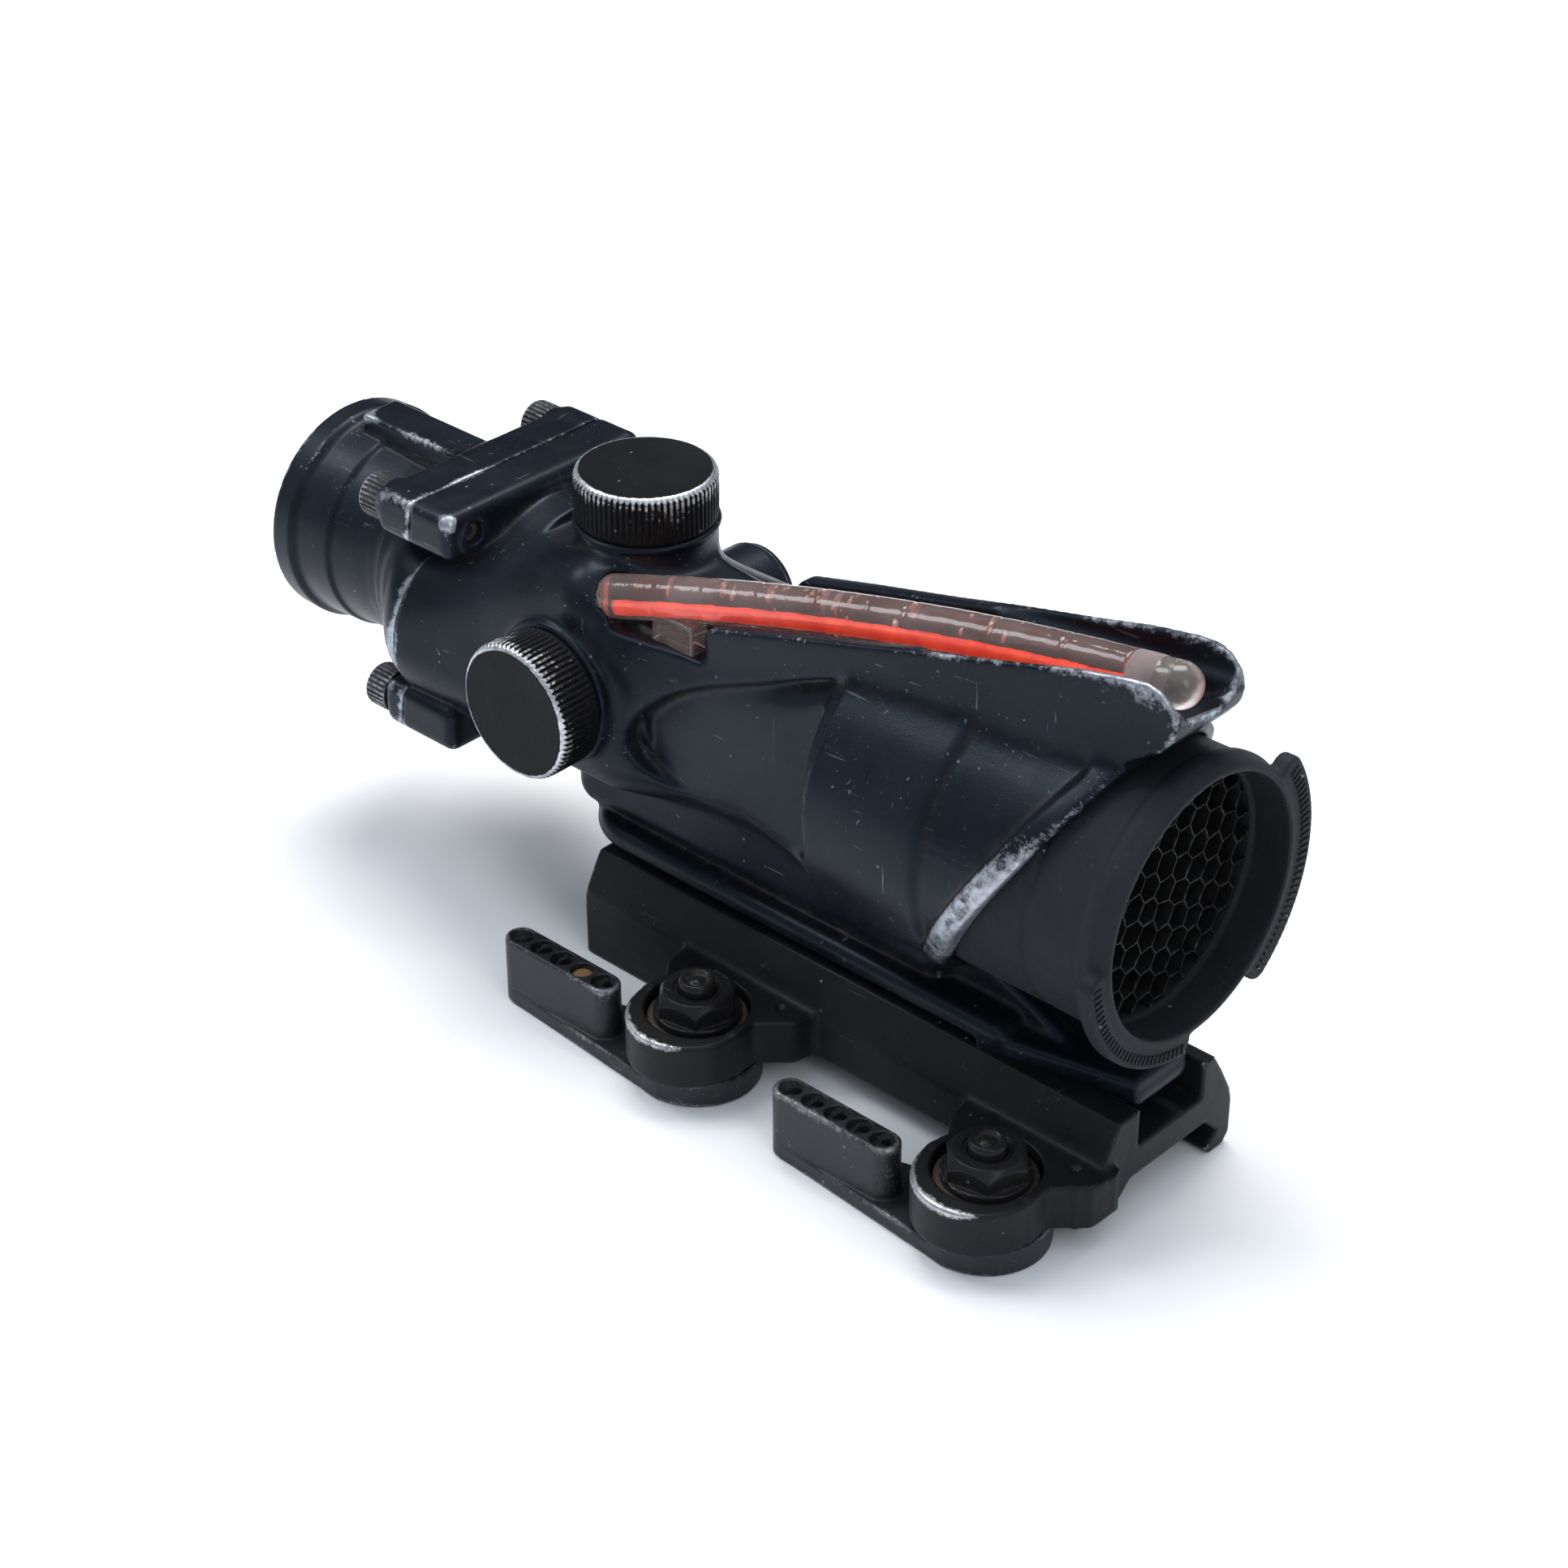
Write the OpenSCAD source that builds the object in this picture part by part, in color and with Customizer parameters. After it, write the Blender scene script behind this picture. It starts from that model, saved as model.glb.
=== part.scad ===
// Compact prism sight with a light gathering tube, a honeycomb glare sleeve
// and a two lever clamp for an accessory rail.
// Millimetres. +X points forward out of the objective, +Y to the user's left, +Z up.
// The origin is the centre of the flat ceiling of the clamp, where the rail's top face rests.

/* [Overall] */
// Height of the optical axis above the rail's top face
optical_height = 39.6; // [36:0.1:44]
// Position of the two adjuster knobs along the rail
station_x = -47; // [-55:0.5:-40]

/* [Eyepiece] */
// Outer radius of the rear rim, where a cover clips on
eye_rim_r = 16.5; // [15:0.1:18]
// Distance of the rear rim behind the knobs
eye_rear_x = -62.2; // [-68:0.2:-58]
// Clear radius of the eye lens
eye_lens_r = 12.6; // [11:0.1:13.5]
// Distance of the housing joint behind the knobs, on the optical axis
joint_x = -30.2; // [-34:0.2:-27]
// Forward lean of the housing joint
joint_lean = 7.4; // [0:0.1:12]

/* [Housing] */
// Outer radius of the objective bell
bell_r = 21; // [20:0.1:22]
// Rear edge of the bell ahead of the knobs
bell_rear_x = 48; // [44:0.5:52]
// Radius of the bore that holds the objective
objective_bore_r = 17.2; // [16:0.1:18]
// Thickness of each rail beside the light tube
rail_wall = 2.4; // [1.8:0.1:3]

/* [Adjusters] */
// Distance of the gimbal ring ahead of the knobs
gimbal_x = 10.7; // [10:0.1:11]
// Outer radius of both screw caps
cap_r = 10; // [9:0.1:11]
// Height of both screw caps
cap_h = 7.2; // [6:0.1:9]
// Number of flutes round each cap
cap_flutes = 72; // [48:2:96]

/* [Light tube] */
// Radius of the clear tube
tube_r = 3.1; // [2.5:0.1:3.5]
// Radius of the glowing fibre inside it
fibre_r = 0.75; // [0.5:0.05:1]

/* [Glare sleeve] */
// Front opening radius of the sleeve
sleeve_bore_r = 18.1; // [17:0.1:19]
// Pitch of the honeycomb cells
comb_pitch = 3.7; // [3:0.1:5]

/* [Clamp] */
// Length of the clamp along the rail
clamp_len = 94.4; // [90:0.2:100]
// Half width of the rail's flat top
rail_top_half = 7.9; // [7.8:0.05:8.1]
// Half width over the rail's outer edges
rail_half = 10.65; // [10.6:0.05:10.9]
// Rear lever pivot ahead of the knobs
pivot_rear_x = 31.5; // [28:0.5:35]
// Distance between the two lever pivots
pivot_pitch = 51.5; // [45:0.5:58]
// Distance of the pivots to the user's right of the centre line
pivot_y = -23.5; // [-26:0.1:-22]
// Radius of each lever's foot disc
lever_r = 8.9; // [8:0.1:9.5]

/* [Hidden] */
$fn = 64;
floor_z = -45.6;
seat_z = -39.6;
ear_top_z = -34.8;
ear_bot_z = -41.6;
pivot_front_x = pivot_rear_x + pivot_pitch;
lip_slope = atan(0.6);

// Everything above the clamp is laid out from the crossing of the knob axes with the optical axis.
module on_axis() { translate([station_x, 0, optical_height]) children(); }

// A cylinder along X from x0 to x1.
module bar_x(x0, x1, r, n = 96) { translate([x0, 0, 0]) rotate([0, 90, 0]) cylinder(r = r, h = x1 - x0, $fn = n); }

// A turned shape about X: points are [x, radius].
module turned(points, n = 96) { rotate([0, 90, 0]) rotate_extrude($fn = n) polygon([for (p = points) [p[1], p[0]]]); }

// A flat outline in Y, Z pushed along X from x0 to x1.
module push_x(x0, x1) { translate([x0, 0, 0]) rotate([90, 0, 90]) linear_extrude(height = x1 - x0) children(); }

// A flat outline in X, Z pushed across Y, centred.
module push_y(w) { rotate([90, 0, 0]) translate([0, 0, -w / 2]) linear_extrude(height = w) children(); }

// The plane of the joint between the two housing castings; children are kept in front or behind.
module before_joint() {
  difference() { children(); translate([joint_x, 0, 0]) rotate([0, joint_lean, 0]) translate([-80, -40, -50]) cube([80, 80, 100]); }
}
module behind_joint() {
  difference() { children(); translate([joint_x, 0, 0]) rotate([0, joint_lean, 0]) translate([0, -40, -50]) cube([80, 80, 100]); }
}

// One cross bar with round ends that carries two of the joint screws.
module ear_bar(x0, x1, z0, z1) {
  push_x(x0, x1) {
    translate([-16.4, z0]) square([32.8, z1 - z0]);
    for (s = [-1, 1]) {
      translate([s * 16.4, z0 + 2.6]) circle(r = 2.6);
      translate([s * 16.4, z1 - 2.6]) circle(r = 2.6);
      translate([s * 16.4 - 2.6, z0 + 2.6]) square([5.2, z1 - z0 - 5.2]);
    }
  }
}

// Outline of the castings where they meet.
module joint_outline() {
  hull() {
    for (s = [-1, 1]) translate([s * 8.5, -2.5]) circle(r = 12.4, $fn = 48);
    circle(r = 16.2, $fn = 48);
  }
}

module body_outline() {
  hull() for (s = [-1, 1], t = [-1, 1]) translate([s * 8.4, t * 7.4 - 0.4]) circle(r = 9, $fn = 40);
}

module housing_outside() {
  before_joint() {
    hull() { push_x(-34, -27) joint_outline(); push_x(-9, 9) body_outline(); }
    ear_bar(-34, -19.8, 12.4, 19.3);
    ear_bar(-34, -21.5, -19.3, -12.4);
  }
  hull() { push_x(6, 12) body_outline(); bar_x(16, 24, 15.2, 48); }
  hull() { bar_x(18, 26, 15.2, 48); bar_x(bell_rear_x - 2, bell_rear_x + 1, 18.6, 48); }
  // the bell: sharp rear edge, a low step half way along, then the hood cut on a slant
  difference() {
    turned([[bell_rear_x, 14], [bell_rear_x, bell_r - 0.8], [bell_rear_x + 0.8, bell_r], [66.2, bell_r], [67, bell_r - 0.7], [96, bell_r - 0.2], [96, 14]]);
    translate([77.3, 0, 0]) rotate([0, lip_slope, 0]) translate([0, -40, -60]) cube([60, 80, 120]);
  }
  // rolled lip round the slanted hood
  intersection() {
    turned([[48, 18], [48, bell_r + 0.9], [100, bell_r + 0.9], [100, 18]]);
    translate([77.3, 0, 0]) rotate([0, lip_slope, 0]) translate([-3.4, -40, -60]) cube([3.6, 80, 120]);
  }
  // adjuster bosses
  cylinder(r = 10, h = 20.2, $fn = 96);
  rotate([90, 0, 0]) cylinder(r = 10.2, h = 19.1, $fn = 96);
  rotate([-90, 0, 0]) cylinder(r = 6.5, h = 21.6, $fn = 64);
  tube_rails();
  foot();
}

// Plan outline of the raised deck with its two rails: the right rail runs in to the centre towards the front.
module deck_plan() {
  polygon([[8, -14.6], [24, -13.6], [96, -7], [96, 7], [8, 7]]);
}

// Plan outline of the trough between the rails; the right rail is thinner at its rear, where the tube lies against it.
module trough_plan() {
  polygon([[5, -13.2], [24, -13.6 + rail_wall - 1], [100, -7 + rail_wall], [100, 7 - rail_wall], [5, 7 - rail_wall]]);
}

// The two rails that guard the light tube, wrapped round its front end.
module tube_rails() {
  difference() {
    intersection() {
      translate([0, 0, 4]) linear_extrude(height = 34) deck_plan();
      push_y(40) polygon([[8, 5], [8, 9.7], [14, 11], [23.4, 14.4], [24, 16.8], [25, 17.6], [36, 20.3], [50, 23.7], [61.5, 26.7], [72.4, 29.3], [81.7, 31.7], [89.7, 33.1], [93, 32.9], [95.2, 31.2], [96, 29], [95.6, 26.4], [93.6, 24], [90, 21.8], [72, 18], [48, 12], [20, 5]]);
    }
    intersection() {
      translate([0, 0, 4]) linear_extrude(height = 40) trough_plan();
      push_y(40) polygon([[2, 10.4], [24.7, 14.2], [46, 18.6], [65, 22], [84, 24.6], [90, 25.4], [93, 26.8], [99, 31], [99, 44], [2, 44]]);
    }
  }
  // raised shoulder where the tube enters
  hull() { translate([-22, -9.5, 3]) sphere(r = 7.5, $fn = 28); translate([-3, -11.2, 12.2]) sphere(r = 6.9, $fn = 28); translate([3.8, -11.6, 12.8]) rotate([0, -76, 0]) cylinder(r = 6.3, h = 1, $fn = 32); }
}

// Pedestal, flange and tongue under the housing.
module foot() {
  translate([0, 0, -25]) linear_extrude(height = 14) { translate([1, 0]) circle(r = 9.6, $fn = 64); translate([1, -8]) square([62, 16]); }
  difference() {
    translate([0, 0, -28.7]) linear_extrude(height = 3.9) { translate([4, 0]) circle(r = 10.8, $fn = 64); translate([4, -10.8]) square([66, 21.6]); polygon([[70, -10.8], [92, -5.4], [92, 5.4], [70, 10.8]]); }
    translate([0, 0, 0]) bar_x(60, 100, 19.9);
  }
  translate([8, -6.6, -34.9]) cube([80, 13.2, 7]);
  difference() {
    push_y(9) polygon([[40, -16], [66, -19.5], [71, -21.2], [76, -23.6], [82, -26.4], [90, -28.6], [92.5, -29.5], [92.5, -30.4], [40, -30.4]]);
    bar_x(60, 100, 19.9);
  }
}

// The front casting: prism body, adjuster bosses, bell with hood, tube rails and foot in one piece.
module main_housing() {
  color([0.13, 0.14, 0.17]) on_axis() difference() {
    housing_outside();
    // prism chamber, light path and objective bore
    bar_x(-40, 21, 14.2);
    bar_x(20, 50, 12.6);
    bar_x(47, 110, objective_bore_r);
    // cut for the glare sleeve inside the hood
    bar_x(61.8, 110, 19.45);
    // adjuster bores
    cylinder(r = 5.1, h = 40, $fn = 64);
    rotate([90, 0, 0]) cylinder(r = 5.1, h = 40, $fn = 64);
    rotate([-90, 0, 0]) cylinder(r = 3.6, h = 40, $fn = 48);
    // face grooves for the cap seals
    translate([0, 0, 19.2]) difference() { cylinder(r = 8.9, h = 2); cylinder(r = 7.3, h = 2.2); }
    rotate([90, 0, 0]) translate([0, 0, 18.1]) difference() { cylinder(r = 8.9, h = 2); cylinder(r = 7.3, h = 2.2); }
    // sockets for the gimbal ring's pins
    translate([gimbal_x, 0, 0]) rotate([90, 0, 0]) cylinder(r = 1.35, h = 30, $fn = 32, center = true);
    // joint screws
    for (s = [-1, 1], z = [-15.9, 15.9]) translate([0, s * 15.6, z]) bar_x(-40, -23.4, 1.55, 32);
    // cross hole with the lock screw
    translate([0, -14.6, 15.9]) bar_x(-24, -19, 1.6, 32);
    // well round the rear of the tube, beside the elevation boss
    translate([4.2, -12.2, 14.3]) rotate([0, 78, 0]) cylinder(r = tube_r + 0.5, h = 20, $fn = 48);
    translate([5, -12.2 - tube_r - 0.3, 11]) cube([16, 2 * tube_r, 20]);
    translate([8, -10, 12.9]) cube([13, 3, 20]);
    // tapped holes for the clamp screws
    for (x = [22, 62]) translate([x, 0, -36]) cylinder(r = 2.05, h = 13, $fn = 32);
    // scooped flank each side of the neck
    for (s = [-1, 1]) translate([0, s * 27.2, -2.5]) bar_x(16, 41, 12.2, 64);
  }
}

// The rear casting: eyepiece barrel, top rib and the rear halves of the joint ears.
module eyepiece_housing() {
  color([0.13, 0.14, 0.17]) on_axis() difference() {
    union() {
      turned([[eye_rear_x, 13.4], [eye_rear_x, eye_rim_r - 0.5], [eye_rear_x + 0.5, eye_rim_r], [-58.2, eye_rim_r], [-57.7, 15.7], [-51, 15.4], [-50.6, 14.9], [-46.5, 14.7], [-42, 14.3], [-38, 14.9], [-33.2, 15.7], [-33.2, 8], [-50, 8]]);
      behind_joint() hull() { push_x(-38, -37.6) circle(r = 14.9, $fn = 48); push_x(-33.4, -27) joint_outline(); }
      behind_joint() ear_bar(-34.4, -24, 12.4, 19.3);
      behind_joint() ear_bar(-36, -27, -19.3, -12.4);
      behind_joint() translate([-55.4, -3.5, 10]) cube([30, 7, 8.4]);
    }
    bar_x(-70, -20, 12.2);
    bar_x(-70, -58.1, 13.1);
    bar_x(-58.2, -55.9, 12.65);
    for (s = [-1, 1], z = [-15.9, 15.9]) translate([0, s * 15.6, z]) bar_x(-45, -20, 1.75, 32);
    // seal groove in the joint face
    translate([joint_x, 0, 0]) rotate([0, joint_lean, 0]) bar_x(-1.2, 1, 14.6);
  }
}

// Rubber ring pressed between the two castings.
module housing_seal() {
  color([0.05, 0.05, 0.05]) on_axis() translate([joint_x, 0, 0]) rotate([0, joint_lean, 0]) difference() { bar_x(-1.15, -0.02, 14.5); bar_x(-2, 1, 12.7); }
}

// One joint screw: knurled drum head with a hex socket, thread forward.
module joint_screw() {
  difference() {
    union() { bar_x(-4.1, 0, 3.3, 48); bar_x(-0.1, 9.6, 1.5, 32); }
    translate([-4.3, 0, 0]) rotate([0, 90, 0]) cylinder(r = 1.5, h = 2, $fn = 6);
    for (a = [0 : 15 : 345]) rotate([a, 0, 0]) translate([0, 0, 3.42]) rotate([0, -90, 0]) cylinder(r = 0.27, h = 9, $fn = 12, center = true);
  }
}

module housing_screws() {
  color([0.16, 0.16, 0.18]) on_axis() {
    for (s = [-1, 1]) { translate([-34.42, s * 15.6, 15.9]) joint_screw(); translate([-36.02, s * 15.6, -15.9]) joint_screw(); }
  }
}

// Grub screw in the front face of the upper cross bar.
module lock_screw() {
  color([0.3, 0.27, 0.24]) on_axis() translate([0, -14.6, 15.9]) difference() { bar_x(-23.3, -20.5, 1.55, 32); translate([-21.8, 0, 0]) rotate([0, 90, 0]) cylinder(r = 0.8, h = 2, $fn = 6); }
}

// Eye lens, convex both sides.
module eye_lens() {
  color([0.6, 0.7, 0.75, 0.5]) on_axis() turned([[-58, eye_lens_r], [-56.2, eye_lens_r], [-55.2, 8], [-54.8, 4], [-54.7, 0], [-59.3, 0], [-59.2, 4], [-58.8, 8], [-58.05, eye_lens_r - 0.4]]);
}

// Retaining ring with two spanner notches behind the eye lens.
module eye_ring() {
  color([0.08, 0.08, 0.09]) on_axis() difference() {
    bar_x(-60.6, -58.35, 13.05);
    bar_x(-62, -50, 11.4);
    for (s = [-1, 1]) translate([-61.2, s * 12.2 - 1, -0.8]) cube([1.6, 2, 1.6]);
  }
}

// Field lens in front of the eye lens.
module field_lens() {
  color([0.6, 0.7, 0.75, 0.5]) on_axis() intersection() { bar_x(-48, -38, 12.15); translate([0.2, 0, 0]) sphere(r = 46, $fn = 96); bar_x(-48, -41.2, 12.15); }
}

// Cradle that holds the prisms and tilts in the gimbal ring.
module prism_cell() {
  color([0.3, 0.3, 0.32]) on_axis() difference() {
    intersection() { translate([-20, -10, -10]) cube([28, 20, 20]); bar_x(-20, 8, 12.6); }
    translate([-18.4, -8.4, -8.4]) cube([24.4, 16.8, 16.8]);
    bar_x(-22, -10, 6.4);
    bar_x(0, 12, 7);
    translate([6, -15, -1]) cube([4, 30, 2]);
  }
  // two tongues pinned to the gimbal ring
  color([0.3, 0.3, 0.32]) on_axis() for (s = [-1, 1]) difference() {
    translate([7.9, -2.2, s * 7.25 - 0.55]) cube([4.4, 4.4, 1.1]);
    translate([gimbal_x, 0, s * 7.25 - 2]) cylinder(r = 1.1, h = 4, $fn = 32);
  }
}

// Entry prism: a right angle wedge of glass.
module entry_prism() {
  color([0.75, 0.85, 0.9, 0.5]) on_axis() push_y(15.6) polygon([[5.6, -7.8], [5.6, 7.6], [-3.2, -7.8]]);
}

// Roof prism: a wedge with a two sided roof that turns the image upright.
module roof_prism() {
  color([0.75, 0.85, 0.9, 0.5]) on_axis() intersection() {
    push_y(15.6) polygon([[-4.4, -7.8], [5, 8.2], [-18, 8.2], [-18, -7.8]]);
    push_x(-19, 6) polygon([[-7.8, -7.8], [7.8, -7.8], [7.8, 4], [0, 8.2], [-7.8, 4]]);
  }
}

// Ring that tilts up and down on two pins in the housing; the prism cradle swings sideways on two pins inside it.
module gimbal_ring() {
  color([0.35, 0.35, 0.36]) on_axis() {
    difference() {
      bar_x(gimbal_x - 1.7, gimbal_x + 1.7, 13.4);
      bar_x(8, 14, 8.4);
    }
    for (s = [-1, 1]) {
      translate([gimbal_x, s * 14.05, 0]) rotate([90, 0, 0]) cylinder(r = 1.2, h = 1.6, $fn = 32, center = true);
      translate([gimbal_x, 0, s * 8.05]) cylinder(r = 1, h = 2.2, $fn = 32, center = true);
    }
  }
}

// Etched glass disc carrying the aiming mark.
module reticle() {
  color([0.7, 0.8, 0.8, 0.6]) on_axis() bar_x(-23.4, -22, 14.15);
}

// Sealed glass vial that lights the aiming mark in the dark.
module lamp() {
  color([0.75, 0.9, 0.5, 0.7]) on_axis() translate([0, 0, 12.3]) { bar_x(-21.95, -15, 1.3, 32); translate([-15, 0, 0]) sphere(r = 1.3, $fn = 32); }
}

// Objective lens.
module objective_lens() {
  color([0.5, 0.45, 0.7, 0.5]) on_axis() intersection() { bar_x(60.02, 70, 16.2); translate([22.5, 0, 0]) sphere(r = 46, $fn = 96); }
}

// Threaded ring that keeps the objective in its bore.
module objective_ring() {
  color([0.08, 0.08, 0.09]) on_axis() difference() { bar_x(50, 73.5, 17.15); bar_x(49, 80, 15.3); bar_x(60, 66, 16.25); }
}

// Slotted adjuster dial with its screw, whose tip ends at the height given; click notches round the edge.
module dial(tip) {
  difference() {
    union() {
      translate([0, 0, 20.25]) cylinder(r = 6.6, h = 2.2);
      translate([0, 0, 12.8]) cylinder(r = 4.8, h = 7.6);
      translate([0, 0, tip]) cylinder(r = 2, h = 13 - tip, $fn = 32);
    }
    translate([-8, -0.6, 21.4]) cube([16, 1.2, 3]);
    for (a = [0 : 10 : 350]) rotate([0, 0, a]) translate([6.65, 0, 19]) cylinder(r = 0.25, h = 4, $fn = 12);
  }
}

// Screw cap with straight flutes, a worn bevel and a dished underside.
module cap() {
  difference() {
    rotate_extrude($fn = 144) polygon([[0, 20.3], [cap_r - 0.3, 20.3], [cap_r, 20.6], [cap_r, 20.3 + cap_h - 0.65], [cap_r - 0.65, 20.3 + cap_h], [0, 20.3 + cap_h]]);
    translate([0, 0, 20]) cylinder(r = 7.2, h = 4.6);
    for (a = [0 : 360 / cap_flutes : 359.9]) rotate([0, 0, a]) translate([cap_r + 0.1, 0, 21.1]) cylinder(r = 0.3, h = 9, $fn = 12);
  }
}

// Rubber ring under a cap.
module cap_seal() { translate([0, 0, 19.25]) difference() { cylinder(r = 8.8, h = 1.02, $fn = 96); translate([0, 0, -1]) cylinder(r = 7.4, h = 3, $fn = 96); } }

module elevation_dial() { color([0.55, 0.55, 0.57]) on_axis() dial(10.3); }
module windage_dial() { color([0.55, 0.55, 0.57]) on_axis() rotate([90, 0, 0]) translate([0, 0, -1.1]) dial(11.4); }
module elevation_cap() { color([0.1, 0.1, 0.11]) on_axis() cap(); }
module windage_cap() { color([0.1, 0.1, 0.11]) on_axis() rotate([90, 0, 0]) translate([0, 0, -1.1]) cap(); }
module elevation_seal() { color([0.03, 0.03, 0.03]) on_axis() cap_seal(); }
module windage_seal() { color([0.03, 0.03, 0.03]) on_axis() rotate([90, 0, 0]) translate([0, 0, -1.1]) cap_seal(); }

// Domed plug over the return spring, opposite the windage knob.
module spring_cap() {
  color([0.12, 0.12, 0.14]) on_axis() rotate([-90, 0, 0]) {
    difference() {
      union() { translate([0, 0, 21.65]) cylinder(r = 6.5, h = 1.2, $fn = 64); translate([0, 0, 15.2]) cylinder(r = 3.55, h = 6.6, $fn = 48); intersection() { translate([0, 0, 14.4]) sphere(r = 10.6, $fn = 64); translate([0, 0, 22.8]) cylinder(r = 6.4, h = 6, $fn = 64); } }
      translate([0, 0, 15]) cylinder(r = 2.6, h = 5, $fn = 48);
    }
  }
}

// Spring loaded plunger that pushes the prism cradle back against the adjusters.
module spring_plunger() {
  color([0.5, 0.5, 0.52]) on_axis() rotate([-90, 0, 0]) { translate([0, 0, 10.3]) cylinder(r = 1.6, h = 3, $fn = 32); translate([0, 0, 13.2]) cylinder(r = 2.5, h = 5.2, $fn = 32); }
}

// The light tube is bent to one long arc through three points: the well beside the elevation boss,
// the middle of the neck and the front of the rails.
tube_a = [6.4, -12.2, 14.8];
tube_b = [46, -5, 23.5];
tube_c = [84.6, -0.4, 29];
tube_n = cross(tube_b - tube_a, tube_c - tube_a);
tube_cross2 = tube_n * tube_n;
tube_centre = tube_a + (cross(tube_n, tube_b - tube_a) * ((tube_c - tube_a) * (tube_c - tube_a)) - cross(tube_n, tube_c - tube_a) * ((tube_b - tube_a) * (tube_b - tube_a))) / (2 * tube_cross2);
tube_bend_r = norm(tube_a - tube_centre);
tube_z = -tube_n / norm(tube_n);
tube_x = (tube_c - tube_centre) / tube_bend_r;
tube_y = cross(tube_z, tube_x);
tube_sweep = acos(((tube_a - tube_centre) * (tube_c - tube_centre)) / (tube_bend_r * tube_bend_r));
module tube_frame() { translate(tube_centre) rotate([atan2(tube_y[2], tube_z[2]), -asin(tube_x[2]), atan2(tube_x[1], tube_x[0])]) children(); }
// An arc of radius r from angle a0, lowered by drop towards the middle of the bend.
module tube_arc(r, drop = 0, a0 = 0, a1 = tube_sweep) {
  tube_frame() rotate([0, 0, a0]) rotate_extrude(angle = a1 - a0, $fn = 1800) translate([tube_bend_r - drop, 0]) circle(r = r, $fn = 32);
}

// Clear bent tube that gathers daylight.
module light_tube() {
  color([0.75, 0.55, 0.5, 0.45]) on_axis() difference() {
    tube_arc(tube_r);
    tube_arc(fibre_r + 0.05, 0.9, -0.2, tube_sweep + 0.2);
  }
}

// Glowing fibre laid in the tube.
module light_fibre() { color([0.95, 0.15, 0.05]) on_axis() tube_arc(fibre_r, 0.9); }

// Clear plug that closes the front end of the tube.
module tube_plug() {
  color([0.9, 0.88, 0.82, 0.6]) on_axis() tube_frame() translate([tube_bend_r, 0, 0]) rotate([90, 0, 0]) translate([0, 0, 0.05]) {
    cylinder(r = tube_r, h = 6.6, $fn = 48);
    translate([0, 0, 6.6]) intersection() { sphere(r = tube_r, $fn = 48); cylinder(r = 4, h = 4); }
  }
}

// Small clear block that props the rear of the tube on the rail.
module tube_foot() {
  color([0.85, 0.8, 0.72, 0.6]) on_axis() difference() { translate([14.4, -12, 11.02]) cube([4.6, 2.5, 4.2]); tube_arc(tube_r + 0.02); }
}

// Rubbery sleeve that slides over the objective inside the hood, with two finger flanges.
module glare_sleeve() {
  color([0.16, 0.16, 0.17]) on_axis() difference() {
    union() {
      turned([[62, 17], [62, 19.35], [95.9, 19.35], [96.9, sleeve_bore_r + 0.4], [96.9, 17]]);
      // two finger flanges: [direction, half span, outer radius]
      for (f = [[-8, 49, 23.4], [225, 44, 22.2]]) intersection() {
        bar_x(94.5, 96.6, f[2]);
        rotate([f[0], 0, 0]) push_x(90, 98) polygon([[0, 0], [40 * cos(f[1]), -40 * sin(f[1])], [60, 0], [40 * cos(f[1]), 40 * sin(f[1])]]);
      }
    }
    bar_x(60, 100, 17.6);
    bar_x(91.2, 100, sleeve_bore_r);
  }
}

// Honeycomb screen across the sleeve.
module glare_comb() {
  cell_r = comb_pitch / sqrt(3);
  color([0.05, 0.05, 0.055]) on_axis() difference() {
    bar_x(84.2, 91, 17.55);
    intersection() {
      bar_x(80, 95, 17);
      union() for (i = [-5 : 5], j = [-5 : 5]) translate([80, i * 1.5 * cell_r, (j + (abs(i) % 2) / 2) * comb_pitch]) rotate([0, 90, 0]) rotate([0, 0, 30]) cylinder(r = cell_r - 0.16, h = 14, $fn = 6);
    }
  }
}

// One lever ear with its counterbore, at the pivot px.
module clamp_ear(px) {
  translate([px, pivot_y - 1.7, ear_bot_z]) cylinder(r = 8.7, h = ear_top_z - ear_bot_z, $fn = 96);
  translate([0, 0, ear_bot_z]) linear_extrude(height = ear_top_z - ear_bot_z) polygon([[px - 8.7, pivot_y - 1.7], [px + 8.7, pivot_y - 1.7], [px + 11.2, -13], [px - 11.2, -13]]);
}

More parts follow.
